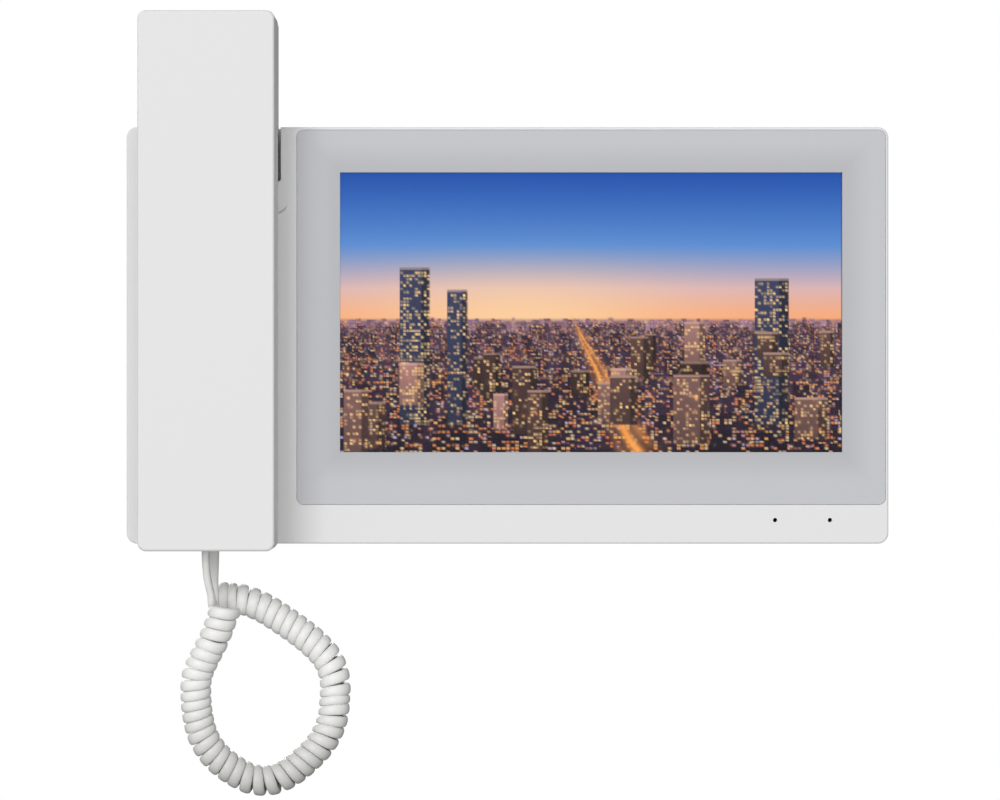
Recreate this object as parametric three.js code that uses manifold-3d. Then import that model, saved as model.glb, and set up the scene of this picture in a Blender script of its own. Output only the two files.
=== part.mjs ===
// A seven-inch video intercom monitor with a corded handset, in millimetres, +Z up.
// The wall is the plane y = 0 and the screen faces -Y. The origin is the centre of the
// wall bracket's back face, so y is minus the distance from the wall.
import * as THREE from 'three';
import { mergeVertices } from 'three/addons/utils/BufferGeometryUtils.js';
import Module from 'manifold-3d';

const wasm = await Module();
wasm.setup();

// ---- driving dimensions ----
const gap = 0.3; // clearance between neighbouring pieces
const wall = 2; // wall of every moulded shell

const body = { left: -116.7, right: 116.7, bottom: -63.9, top: 63.7 };
const bodyRadius = 3.2;
const frontFace = -23;
const beyondFace = frontFace - 3; // cutters start clear of the front face
const splitPlane = -13; // where the front and the rear housing meet
const backFace = -0.6;
const innerFace = frontFace + wall + 0.2; // back of the front housing's face plate

const glass = { left: -64.5, right: 115.8, bottom: -51.9, top: 62.8 };
const glassRadius = 2.1;
const glassDepth = 1.8;
const pocketFloor = -20.3; // the glass and its adhesive frame lie in front of this

const display = { x: 25.5, z: 7, halfWidth: 82.2, halfHeight: 50 };
const picture = { halfWidth: 77.05, halfHeight: 43.05 }; // the lit part of the display
const windowMargin = { x: 0.8, z: 0.6 }; // round the tray, in the housing and the adhesive frame
const trayBack = -15.5;
const trayWall = 0.8;

const board = { left: -50, right: 103, front: -12, back: -10.4, bottom: -42, top: 48 };
const boardScrews = [[-45, 43], [98, 43], [98, -37], [-45, -37]];
const networkJack = { halfWidth: 8, front: -15, back: -2, bottom: -19, top: 2 };
const networkMouth = { halfWidth: 5.95, front: -12.5, back: -4.5, depth: 12.5 };
const terminal = { left: 11.5, right: 21.5, back: -3.1, bottom: -18.2, top: 2.2 };
const terminalPoles = { count: 4, pitch: 5.08, first: -15.6, screwX: 15 };
const screwBore = 1.7;

const plate = { halfWidth: 55, halfHeight: 38, depth: 1.5, radius: 4 };
const plateScrews = { x: 47, z: 31, radius: 2.3 };
const recessFloor = -2.6; // bracket recess in the back of the rear housing
const hookX = 36;
const hookZ = [24, -22];
const hookHalfWidth = 5;
const hookNeck = 1.5;
const hookTip = 5.5;
const hookFront = -6.7;

const handset = { left: -111.6, right: -70.25, bottom: -65.5, top: 97.6 };
const handsetX = (handset.left + handset.right) / 2;
const handsetRadius = 2.6;
const handsetFront = -44;
const handsetSplit = -33.9;
const handsetBack = -23.7;
const earBump = { left: -111.2, right: -70.65, bottom: 48.2, top: 97.2 };
const earBumpBack = -15.4;
const mouthBump = { left: -107.4, right: -74.2, bottom: -65.1, top: -22 };
const mouthBumpBack = -16.2;
const earWell = { left: -112.4, right: -69.5, bottom: 47.2, top: 70 };
const earWellFloor = -14.8;
const mouthWell = { left: -108.2, right: -73.4, bottom: -70, top: -21 };
const mouthWellFloor = -15.6;
const scoop = { x: -70.9, z: 40.5, radius: 3.4, depth: 0.9 };

const pinHoles = [82, 98.8];
const pinHoleZ = -56.7;
const pinHoleRadius = 0.6;

const receiver = { z: 76, radius: 13.5 };
const handsetMicrophone = { x: -101.3, z: -56 };
const soundHole = { radius: 0.8, pitch: 3.4 };
const speaker = { x: -91.5, z: -0.5, radius: 17.5 };
const plunger = { z: 30, half: 3.2, flange: 4.6, travel: 3 };
const spring = { turns: 3.5, radius: 2.6, wire: 0.3, front: -15.6, length: 4 };

const jack = { halfX: 5.2, halfY: 4.3, length: 14 };
const jackMouth = { halfX: 3.95, halfY: 3.3, depth: 11.6 };
const plug = { halfX: 3.6, halfY: 2.9, length: 12.4, latchHalf: 1.6, belowMouth: 1.9 };
const plugMargin = { x: 0.8, y: 0.7 };
const baseJack = { x: -90.9, y: -8.1, mouth: -61 };
const handsetJack = { x: -92.1, y: -28.5, mouth: -62.9 };

const bossRadius = 2.9;
const sleeve = { radius: 4.6, bore: 3.3, front: -8 }; // round each screw's head in the rear housing
const vents = { count: 9, first: 2, pitch: 11, width: 7 };
const grille = { rows: 3, pitch: 4, reach: 15, halfSlot: 0.9 };
const housingScrews = [
  [110.9, 50],
  [110.9, -57],
  [-61.5, 55],
  [-62, -57],
  [-110.5, 38],
  [-110.5, -14],
];
const handsetScrews = [40, -12];

// Flat-oval cord, wound into a close helix that hangs in one loop.
const cord = { width: 3.2, thickness: 2.3 };
const coilRadius = 4.75;
const coilRoute = [
  [-90.7, -10.4, -80.6],
  [-87.7, -10.6, -80.9],
  [-81.5, -11.3, -81.7],
  [-75.6, -11.9, -84.0],
  [-69.7, -12.6, -87.6],
  [-64.3, -13.3, -91.3],
  [-59.6, -14.0, -95.1],
  [-55.3, -14.6, -99.9],
  [-53.2, -15.3, -105.8],
  [-53.2, -16.0, -112.1],
  [-53.9, -16.6, -118.2],
  [-56.6, -17.3, -124.3],
  [-60.9, -18.0, -129.3],
  [-66.3, -18.8, -133.8],
  [-72.1, -19.5, -136.5],
  [-78.5, -20.1, -136.3],
  [-84.2, -20.8, -133.4],
  [-89.5, -21.5, -129.0],
  [-93.1, -22.2, -123.4],
  [-94.8, -22.9, -117.2],
  [-95.4, -23.6, -110.8],
  [-95.1, -24.2, -104.6],
  [-93.0, -24.9, -99.3],
  [-89.5, -25.6, -92.4],
  [-86.2, -26.3, -83.5],
];
const baseTailRoute = [
  [-90.9, -8.1, -63.2],
  [-90.9, -8.1, -65.2],
  [-90.9, -8.5, -67.6],
  [-90.9, -9.6, -70.2],
  [-90.9, -11.0, -72.6],
  [-90.9, -12.3, -74.8],
];
const handsetTailRoute = [
  [-92.1, -28.5, -65.4],
  [-92.1, -28.5, -68.2],
  [-91.9, -28.1, -71.4],
  [-91.6, -27.0, -74.6],
  [-91.1, -25.6, -77.4],
  [-90.6, -24.4, -79.6],
];

// The wire inside the handset, from its cord jack up to the receiver.
const leadRadius = 1.2;
const leadRoute = [
  [-98.6, -29, -50],
  [-101, -29, -44],
  [-104, -29, -30],
  [-104, -29, 0],
  [-104, -29, 40],
  [-101, -28, 56],
  [-96, -27.6, 64],
  [-92, -27.1, 70],
];

// ---- finishes: colour, roughness, metalness ----
const finishes = {
  housingPlastic: [0xe3e3e1, 0.5, 0],
  handsetPlastic: [0xe8e8e6, 0.42, 0],
  glass: [0xc3c4c8, 0.12, 0],
  screen: [0x35507c, 0.15, 0],
  blackPlastic: [0x1b1c1e, 0.55, 0],
  rubber: [0x2a2a2b, 0.85, 0],
  adhesive: [0x141414, 0.9, 0],
  steel: [0xb4b6b8, 0.38, 1],
  zinc: [0xc9cbd0, 0.3, 1],
  magnet: [0x8f9398, 0.32, 1],
  circuitBoard: [0x1f5a39, 0.55, 0],
  lightGuide: [0xf4f5f2, 0.4, 0],
  polyimide: [0xb8741f, 0.45, 0],
  terminalGreen: [0x2f9a52, 0.5, 0],
  cordPlastic: [0xe4e4df, 0.45, 0],
  clearPlastic: [0xdfe4e6, 0.2, 0],
};

// ---- shape helpers ----

// A geometry whose triangles all face out, whatever way its profile was drawn.
function facingOut(geometry) {
  const bare = geometry.clone();
  bare.deleteAttribute('normal');
  bare.deleteAttribute('uv');
  const merged = mergeVertices(bare, 1e-4);
  const position = merged.attributes.position;
  const index = Array.from(merged.index.array);
  const corner = [new THREE.Vector3(), new THREE.Vector3(), new THREE.Vector3()];
  const faces = [];
  let volume = 0;
  for (let i = 0; i < index.length; i += 3) {
    const face = index.slice(i, i + 3);
    if (new Set(face).size < 3) continue;
    face.forEach((vertex, k) => corner[k].fromBufferAttribute(position, vertex));
    volume += corner[0].dot(corner[1].clone().cross(corner[2]));
    faces.push(face);
  }
  merged.setIndex(faces.flatMap((face) => (volume < 0 ? face.reverse() : face)));
  return merged;
}

// A closed geometry as a solid that can be joined and cut.
function solid(geometry) {
  const closed = facingOut(geometry);
  return new wasm.Manifold(new wasm.Mesh({
    numProp: 3,
    vertProperties: new Float32Array(closed.attributes.position.array),
    triVerts: new Uint32Array(closed.index.array),
  }));
}

function geometryOf(manifold) {
  const mesh = manifold.getMesh();
  const geometry = new THREE.BufferGeometry();
  geometry.setAttribute('position', new THREE.BufferAttribute(mesh.vertProperties, 3));
  geometry.setIndex(new THREE.BufferAttribute(mesh.triVerts, 1));
  geometry.computeVertexNormals();
  return geometry;
}

function joined(...solids) {
  return solids.reduce((sum, next) => sum.add(next));
}

function cut(base, ...tools) {
  return tools.reduce((left, tool) => left.subtract(tool), base);
}

function block(x0, x1, y0, y1, z0, z1) {
  const box = new THREE.BoxGeometry(x1 - x0, Math.abs(y1 - y0), z1 - z0);
  box.translate((x0 + x1) / 2, (y0 + y1) / 2, (z0 + z1) / 2);
  return solid(box);
}

// A block over an x-z rectangle, between two depths.
function slab(area, y0, y1) {
  return block(area.left, area.right, y0, y1, area.bottom, area.top);
}

function grown(area, by) {
  return {
    left: area.left - by,
    right: area.right + by,
    bottom: area.bottom - by,
    top: area.top + by,
  };
}

// A rounded rectangle carried along -Y. Each level is [y, inset], from back to front.
function stack(area, radius, levels, steps = 3) {
  const count = 4 * (steps + 1);
  const points = [];
  for (const [y, inset] of levels) {
    const r = Math.max(radius - inset, 0.05);
    for (let quarter = 0; quarter < 4; quarter++) {
      const x = quarter < 2 ? area.right - inset - r : area.left + inset + r;
      const z = quarter % 3 === 0 ? area.bottom + inset + r : area.top - inset - r;
      for (let step = 0; step <= steps; step++) {
        const angle = (Math.PI / 2) * (quarter - 1 + step / steps);
        points.push(x + r * Math.cos(angle), y, z + r * Math.sin(angle));
      }
    }
  }
  const centreX = (area.left + area.right) / 2;
  const centreZ = (area.bottom + area.top) / 2;
  const last = levels.length - 1;
  points.push(centreX, levels[0][0], centreZ, centreX, levels[last][0], centreZ);
  const backCentre = count * levels.length;
  const index = [];
  for (let j = 0; j < count; j++) {
    const next = (j + 1) % count;
    for (let i = 0; i < last; i++) {
      const a = i * count + j;
      const b = i * count + next;
      index.push(a, b, b + count, a, b + count, a + count);
    }
    index.push(backCentre, next, j);
    index.push(backCentre + 1, last * count + j, last * count + next);
  }
  const geometry = new THREE.BufferGeometry();
  geometry.setAttribute('position', new THREE.Float32BufferAttribute(points, 3));
  geometry.setIndex(index);
  return solid(geometry);
}

function roundedPlate(area, radius, y0, y1, steps) {
  return stack(area, radius, [[y0, 0], [y1, 0]], steps);
}

function rod(x, z, radius, y0, y1, sides = 16) {
  const cylinder = new THREE.CylinderGeometry(radius, radius, Math.abs(y1 - y0), sides);
  cylinder.translate(x, (y0 + y1) / 2, z);
  return solid(cylinder);
}

// A profile of [radius, y] points turned about the line along Y through x, z.
function turned(profile, x, z, sides = 24) {
  const lathe = new THREE.LatheGeometry(profile.map(([r, y]) => new THREE.Vector2(r, y)), sides);
  lathe.translate(x, 0, z);
  return facingOut(lathe);
}

// A closed tube of an oval section along a smooth curve through the given points.
function tube(route, halfWidth, halfThickness, sides, steps) {
  const curve = new THREE.CatmullRomCurve3(route.map((p) => new THREE.Vector3(...p)));
  const section = new THREE.Shape();
  for (let i = 0; i < sides; i++) {
    const angle = (2 * Math.PI * (i + 0.5)) / sides;
    const point = [halfWidth * Math.cos(angle), halfThickness * Math.sin(angle)];
    if (i === 0) section.moveTo(...point);
    else section.lineTo(...point);
  }
  const options = { steps, extrudePath: curve, bevelEnabled: false };
  return facingOut(new THREE.ExtrudeGeometry(section, options));
}

// A way through the bottom wall to a cord jack, from the wall's outside at z = low.
function cordOpening(at, low) {
  return block(
    at.x - plug.halfX - plugMargin.x,
    at.x + plug.halfX + plugMargin.x,
    at.y - plug.halfY - plugMargin.y,
    at.y + plug.halfY + plugMargin.y,
    low - 1,
    low + wall + 0.5,
  );
}

// The opening round the display's tray.
function windowArea() {
  return {
    left: display.x - display.halfWidth - windowMargin.x,
    right: display.x + display.halfWidth + windowMargin.x,
    bottom: display.z - display.halfHeight - windowMargin.z,
    top: display.z + display.halfHeight + windowMargin.z,
  };
}

// ---- the groups, one for each body ----
const wallGroup = new THREE.Group();
const monitorGroup = new THREE.Group();
const plungerGroup = new THREE.Group();
const handsetGroup = new THREE.Group();
monitorGroup.add(plungerGroup, handsetGroup);

function piece(group, name, shape, finish) {
  const [color, roughness, metalness] = finishes[finish];
  const geometry = shape.getMesh ? geometryOf(shape) : shape;
  const mesh = new THREE.Mesh(
    geometry,
    new THREE.MeshStandardMaterial({ color, roughness, metalness }),
  );
  mesh.name = name;
  group.add(mesh);
}

// ---- wall bracket: a stamped plate with four upturned hooks ----
function wallBracket() {
  const area = {
    left: -plate.halfWidth,
    right: plate.halfWidth,
    bottom: -plate.halfHeight,
    top: plate.halfHeight,
  };
  const cableOpening = { left: -26, right: 26, bottom: -33, top: -7 };
  let shape = cut(
    roundedPlate(area, plate.radius, 0, -plate.depth),
    roundedPlate(cableOpening, plate.radius - 1, 1, -2 * plate.depth),
  );
  const { x: screwX, z: screwZ, radius } = plateScrews;
  for (const x of [-screwX, screwX]) {
    for (const z of [-screwZ, screwZ]) shape = cut(shape, rod(x, z, radius, 1, -2 * plate.depth));
  }
  for (const x of [-hookX, hookX]) {
    for (const z of hookZ) {
      const left = x - hookHalfWidth;
      const right = x + hookHalfWidth;
      const low = z - hookNeck / 2;
      shape = joined(
        shape,
        block(left, right, -1, hookFront, low, low + hookNeck),
        block(left, right, hookFront + plate.depth, hookFront, low, z + hookTip),
      );
    }
  }
  piece(wallGroup, 'wall_bracket', shape, 'zinc');
}

// ---- rear housing: tray with the bracket recess, vents, sleeves and openings ----
function rearHousing() {
  const outside = grown(body, -0.6);
  const recess = { left: -58, right: 58, bottom: -47, top: 41 };
  const connectorWindow = { left: -24, right: 24, bottom: -45, top: 3 };
  let shape = stack(outside, bodyRadius, [[backFace, 0.8], [backFace - 0.8, 0], [splitPlane + gap, 0]]);
  const hollow = cut(
    slab(grown(outside, -wall), splitPlane - 1, backFace - wall),
    slab(grown(recess, wall), recessFloor - wall, 0),
  );
  shape = cut(shape, hollow, slab(recess, recessFloor, 1), slab(connectorWindow, 1, -6));
  for (const x of [-hookX, hookX]) {
    for (const z of hookZ) {
      const top = z + hookNeck / 2 + gap;
      const bottom = top - hookTip - hookNeck - 2.2;
      shape = cut(shape, block(x - hookHalfWidth - 1, x + hookHalfWidth + 1, 0, -6, bottom, top));
    }
  }
  const within = slab(grown(outside, -0.5), 0, splitPlane);
  for (const [x, z] of housingScrews) {
    const tower = rod(x, z, sleeve.radius, backFace - 1, sleeve.front).intersect(within);
    const head = rod(x, z, sleeve.bore, 1, -5);
    shape = cut(joined(shape, tower), head, rod(x, z, screwBore, 1, sleeve.front - 1));
  }
  for (let i = 0; i < vents.count; i++) {
    const x = vents.first + vents.pitch * i;
    shape = cut(shape, block(x, x + vents.width, -5, -8, outside.top - 4, outside.top + 1));
  }
  for (let i = -grille.rows; i <= grille.rows; i++) {
    const up = grille.pitch * i;
    const z = speaker.z + up;
    const half = Math.sqrt(grille.reach ** 2 - up ** 2);
    const { halfSlot } = grille;
    shape = cut(shape, block(speaker.x - half, speaker.x + half, 1, -4, z - halfSlot, z + halfSlot));
  }
  shape = cut(shape, cordOpening(baseJack, outside.bottom));
  piece(monitorGroup, 'rear_housing', shape, 'housingPlastic');
}

// ---- front housing: face plate with the glass pocket and the handset's cradle ----
function frontHousing() {
  const levels = [[splitPlane, 0], [frontFace + 0.5, 0], [frontFace + 0.12, 0.12], [frontFace, 0.35]];
  const within = stack(body, bodyRadius, levels);
  const pocket = grown(glass, gap);
  const pocketWalls = grown(pocket, 1.2);
  const earWalls = grown(earWell, 1.9);
  const mouthWalls = grown(mouthWell, 1.9);
  let shape = cut(within, slab(grown(body, -2.2), 0, innerFace));
  shape = joined(
    shape,
    slab(pocketWalls, pocketFloor + 1.8, frontFace).intersect(within),
    slab(earWalls, splitPlane, frontFace).intersect(within),
    slab(mouthWalls, mouthWellFloor + 2, frontFace).intersect(within),
  );
  for (const [x, z] of housingScrews) {
    shape = joined(shape, rod(x, z, bossRadius, sleeve.front - gap, innerFace - 0.2));
  }
  const scoopFloor = frontFace + scoop.depth;
  shape = cut(
    shape,
    roundedPlate(pocket, glassRadius + gap, pocketFloor, beyondFace),
    slab(windowArea(), 0, beyondFace),
    slab(earWell, earWellFloor, beyondFace),
    slab(mouthWell, mouthWellFloor, beyondFace),
    rod(scoop.x, scoop.z, scoop.radius, scoopFloor, beyondFace, 24),
    block(
      scoop.x - scoop.radius,
      scoop.x + scoop.radius,
      scoopFloor,
      beyondFace,
      scoop.z,
      earWell.bottom + 0.8,
    ),
    block(
      handsetX - plunger.half - 0.4,
      handsetX + plunger.half + 0.4,
      -18,
      beyondFace,
      plunger.z - plunger.half - 0.4,
      plunger.z + plunger.half + 0.4,
    ),
  );
  for (const x of pinHoles) {
    shape = cut(shape, rod(x, pinHoleZ, pinHoleRadius, -18, beyondFace, 12));
  }
  for (const [x, z] of housingScrews) shape = cut(shape, rod(x, z, screwBore, 0, -16.5, 12));
  piece(monitorGroup, 'front_housing', shape, 'housingPlastic');
}

// ---- front glass on its adhesive frame ----
function frontGlass() {
  const back = frontFace + glassDepth - 0.2;
  const lens = stack(glass, glassRadius, [[back, 0], [frontFace - 0.05, 0], [frontFace - 0.2, 0.15]]);
  piece(monitorGroup, 'front_glass', lens, 'glass');
  const frame = cut(
    roundedPlate(grown(glass, -0.1), glassRadius, pocketFloor - gap, pocketFloor - gap - 0.5, 3),
    slab(windowArea(), 0, beyondFace),
  );
  piece(monitorGroup, 'glass_adhesive_frame', frame, 'adhesive');
}

// ---- display module: steel tray, light guide, liquid crystal cell and ribbon ----
function displayModule() {
  const tray = {
    left: display.x - display.halfWidth,
    right: display.x + display.halfWidth,
    bottom: display.z - display.halfHeight,
    top: display.z + display.halfHeight,
  };
  const inside = grown(tray, -trayWall);
  const shape = cut(slab(tray, trayBack, -20.9), slab(inside, trayBack - trayWall, -22));
  piece(monitorGroup, 'display_tray', shape, 'steel');
  const fitted = grown(inside, -gap);
  piece(monitorGroup, 'light_guide', slab(fitted, trayBack - 1.1, trayBack - 3.4), 'lightGuide');
  const cell = joined(
    slab(fitted, trayBack - 3.7, trayBack - 5),
    block(
      display.x - picture.halfWidth,
      display.x + picture.halfWidth,
      trayBack - 4.9,
      trayBack - 5.4,
      display.z - picture.halfHeight,
      display.z + picture.halfHeight,
    ),
  );
  piece(monitorGroup, 'display_cell', cell, 'screen');

  // The ribbon hooks round the lower edge of the main board.
  const outer = 2.55;
  const inner = 2.25;
  const bendY = -12.3;
  const bendZ = -43;
  const ribbon = new THREE.Shape();
  ribbon.moveTo(bendY - outer, -30);
  ribbon.absarc(bendY, bendZ, outer, Math.PI, 2 * Math.PI, false);
  ribbon.lineTo(bendY + outer, -35);
  ribbon.lineTo(bendY + inner, -35);
  ribbon.absarc(bendY, bendZ, inner, 2 * Math.PI, Math.PI, true);
  ribbon.lineTo(bendY - inner, -30);
  const strip = new THREE.ExtrudeGeometry(ribbon, { depth: 32, bevelEnabled: false, curveSegments: 8 });
  // The profile was drawn in y and z: turn it so that the strip's width runs along X.
  strip.applyMatrix4(new THREE.Matrix4().set(0, 0, 1, 38, 1, 0, 0, 0, 0, 1, 0, 0, 0, 0, 0, 1));
  piece(monitorGroup, 'display_ribbon', facingOut(strip), 'polyimide');
}

// ---- main board and what it carries ----
function mainBoard() {
  const { left, right, front, back, bottom, top } = board;
  const seat = back + gap; // parts on the board's rear side start here
  const notch = networkJack.halfWidth + 1;
  const laminate = cut(
    block(left, right, front, back, bottom, top),
    block(-notch, notch, 0, -20, bottom - 10, networkJack.top + 1),
    ...boardScrews.map(([x, z]) => rod(x, z, screwBore, 0, -20, 12)),
  );
  piece(monitorGroup, 'main_board', laminate, 'circuitBoard');
  piece(monitorGroup, 'processor', block(53, 67, seat, seat + 1.3, 3, 17), 'blackPlastic');
  const shield = cut(
    block(42, 78, seat, seat + 2.8, -6, 26),
    block(42.4, 77.6, seat - 1, seat + 2.4, -5.6, 25.6),
  );
  piece(monitorGroup, 'processor_shield', shield, 'zinc');

  // Network jack, mouth down, sunk in the board's notch; its latch way is the narrow slot in front.
  const { halfWidth, bottom: low } = networkJack;
  const { halfWidth: mouthHalf, front: mouthFront, back: mouthBack } = networkMouth;
  const roof = low + networkMouth.depth;
  const network = cut(
    block(-halfWidth, halfWidth, networkJack.front, networkJack.back, low, networkJack.top),
    block(-mouthHalf, mouthHalf, mouthFront, mouthBack, low - 1, roof),
    block(-2, 2, mouthFront - 1.5, mouthFront + 0.5, low - 1, roof),
  );
  piece(monitorGroup, 'network_jack', network, 'blackPlastic');

  // Four-pole bus terminal: a clamp screw in its well and a wire entry for each pole.
  const { count, pitch, first, screwX } = terminalPoles;
  let strip = block(terminal.left, terminal.right, seat, terminal.back, terminal.bottom, terminal.top);
  for (let pole = 0; pole < count; pole++) {
    const z = first + pitch * pole;
    const well = rod(screwX, z, 1.8, -5.7, 0, 12);
    const entry = block(17.5, terminal.right + 0.5, -8.5, -5.9, z - 1.4, z + 1.4);
    strip = cut(strip, well, entry);
    piece(monitorGroup, `terminal_screw_${pole + 1}`, rod(screwX, z, 1.45, -5.4, -4, 10), 'zinc');
  }
  piece(monitorGroup, 'bus_terminal', strip, 'terminalGreen');
}

// ---- loudspeaker, firing through the back's slots ----
function loudspeaker() {
  const { x, z, radius } = speaker;
  const unit = turned(
    [[0, -13], [9, -13], [9, -8.5], [12, -8.5], [radius - 1.5, -5.6], [radius, -5.6], [radius, -4.6],
      [radius - 2.5, -4.6], [radius - 5, -6], [6, -7.2], [4.5, -6.2], [0, -5.8]],
    x,
    z,
    28,
  );
  piece(monitorGroup, 'loudspeaker', unit, 'blackPlastic');
  const ring = turned(
    [[radius - 2.2, -4.3], [radius, -4.3], [radius, -2.9], [radius - 2.2, -2.9], [radius - 2.2, -4.3]],
    x,
    z,
    28,
  );
  piece(monitorGroup, 'loudspeaker_gasket', ring, 'rubber');
}

// ---- the two microphones behind the chin's pin holes ----
function microphones() {
  const back = innerFace + gap;
  pinHoles.forEach((x, i) => {
    const profile = [
      [pinHoleRadius, back],
      [3, back],
      [3, back + 4],
      [2.3, back + 4],
      [2.3, back + 1.2],
      [pinHoleRadius, back + 1.2],
      [pinHoleRadius, back],
    ];
    const boot = turned(profile, x, pinHoleZ, 16);
    piece(monitorGroup, `microphone_boot_${i + 1}`, boot, 'rubber');
    const capsule = rod(x, pinHoleZ, 2, back + 1.5, back + 3.8);
    piece(monitorGroup, `microphone_${i + 1}`, capsule, 'steel');
  });
}

// ---- hook switch: plunger, return spring, switch and its small board ----
function hookSwitch() {
  const { z, half, flange } = plunger;
  const flangeFront = innerFace + plunger.travel + gap;
  const shape = joined(
    block(handsetX - half, handsetX + half, handsetBack + gap, flangeFront, z - half, z + half),
    slab(
      { left: handsetX - flange, right: handsetX + flange, bottom: z - flange, top: z + flange },
      flangeFront - 0.1,
      flangeFront + 1.2,
    ),
    rod(handsetX, z, 1.4, flangeFront + 1.1, -11.5, 12),
  );
  piece(plungerGroup, 'hook_plunger', shape, 'blackPlastic');

  // The spring: 12 points for each turn of a helix along Y.
  const { turns, radius, wire, front, length } = spring;
  const helix = [];
  for (let i = 0; i <= 12 * turns; i++) {
    const angle = (2 * Math.PI * i) / 12;
    const y = front + (length * i) / (12 * turns);
    helix.push([handsetX + radius * Math.cos(angle), y, z + radius * Math.sin(angle)]);
  }
  piece(monitorGroup, 'hook_spring', tube(helix, wire, wire, 4, 36), 'steel');
  const switchBody = block(handsetX - 6, handsetX + 6, -10.9, -5.3, z - 3.2, z + 3.2);
  piece(monitorGroup, 'hook_switch', switchBody, 'blackPlastic');
  const board = block(handsetX - 11, handsetX + 11, -5, -3.4, z - 7, z + 7);
  piece(monitorGroup, 'hook_switch_board', board, 'circuitBoard');
}

// ---- a four-contact cord jack, mouth down, and the plug that sits in it ----
function cordJack(group, name, at) {
  const shape = cut(
    block(
      at.x - jack.halfX,
      at.x + jack.halfX,
      at.y - jack.halfY,
      at.y + jack.halfY,
      at.mouth,
      at.mouth + jack.length,
    ),
    block(
      at.x - jackMouth.halfX,
      at.x + jackMouth.halfX,
      at.y - jackMouth.halfY,
      at.y + jackMouth.halfY,
      at.mouth - 1,
      at.mouth + jackMouth.depth,
    ),
  );
  piece(group, name, shape, 'blackPlastic');
}

function cordPlug(group, name, at) {
  const low = at.mouth - plug.belowMouth;
  const main = block(
    at.x - plug.halfX,
    at.x + plug.halfX,
    at.y - plug.halfY,
    at.y + plug.halfY - 0.9,
    low,
    low + plug.length,
  );
  const latch = block(
    at.x - plug.latchHalf,
    at.x + plug.latchHalf,
    at.y,
    at.y + plug.halfY,
    low + 1,
    low + plug.length - 1.5,
  );
  piece(group, name, joined(main, latch), 'clearPlastic');
}

// ---- handset: two shells and what they hold ----
function handsetShells() {
  const levels = [[handsetSplit, 0], [handsetFront + 1, 0], [handsetFront + 0.3, 0.3], [handsetFront, 1]];
  let outer = cut(
    stack(handset, handsetRadius, levels),
    slab(grown(handset, -wall), handsetFront + wall, 0),
  );
  const seam = handsetSplit + gap;
  const within = stack(handset, handsetRadius, [[earBumpBack, 0], [seam, 0]]);
  let inner = joined(
    within.intersect(slab(grown(handset, 1), seam, handsetBack)),
    stack(earBump, handsetRadius, [[earBumpBack, 0.7], [earBumpBack - 0.7, 0], [seam, 0]]),
    stack(mouthBump, handsetRadius, [[mouthBumpBack, 0.7], [mouthBumpBack - 0.7, 0], [seam, 0]]),
  );
  inner = cut(
    inner,
    slab(grown(handset, -wall), handsetBack - wall, -40),
    slab(grown(earBump, -wall), earBumpBack - wall, -40),
    slab(grown(mouthBump, -wall), mouthBumpBack - wall, -40),
  );
  for (const z of handsetScrews) {
    outer = joined(outer, rod(handsetX, z, 3.2, handsetSplit, handsetFront + 1));
    inner = joined(inner, rod(handsetX, z, 4, handsetBack, seam));
  }
  for (const z of handsetScrews) {
    outer = cut(outer, rod(handsetX, z, 1.5, 0, handsetFront + 3, 12));
    inner = cut(inner, rod(handsetX, z, 1.5, 0, -40, 12), rod(handsetX, z, 2.7, 0, handsetBack - 2.4));
  }
  // Sound holes: rings over the receiver and one hole for the microphone.
  for (let ring = 0; ring < 3; ring++) {
    const count = ring === 0 ? 1 : 6 * ring;
    for (let i = 0; i < count; i++) {
      const angle = (2 * Math.PI * i) / count;
      const x = handsetX + soundHole.pitch * ring * Math.cos(angle);
      const z = receiver.z + soundHole.pitch * ring * Math.sin(angle);
      inner = cut(inner, rod(x, z, soundHole.radius, 0, earBumpBack - wall - 1, 8));
    }
  }
  const { x: micX, z: micZ } = handsetMicrophone;
  inner = cut(inner, rod(micX, micZ, soundHole.radius, 0, mouthBumpBack - wall - 1, 8));
  inner = cut(inner, cordOpening(handsetJack, handset.bottom));
  piece(handsetGroup, 'handset_outer_shell', outer, 'handsetPlastic');
  piece(handsetGroup, 'handset_inner_shell', inner, 'handsetPlastic');
}

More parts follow.
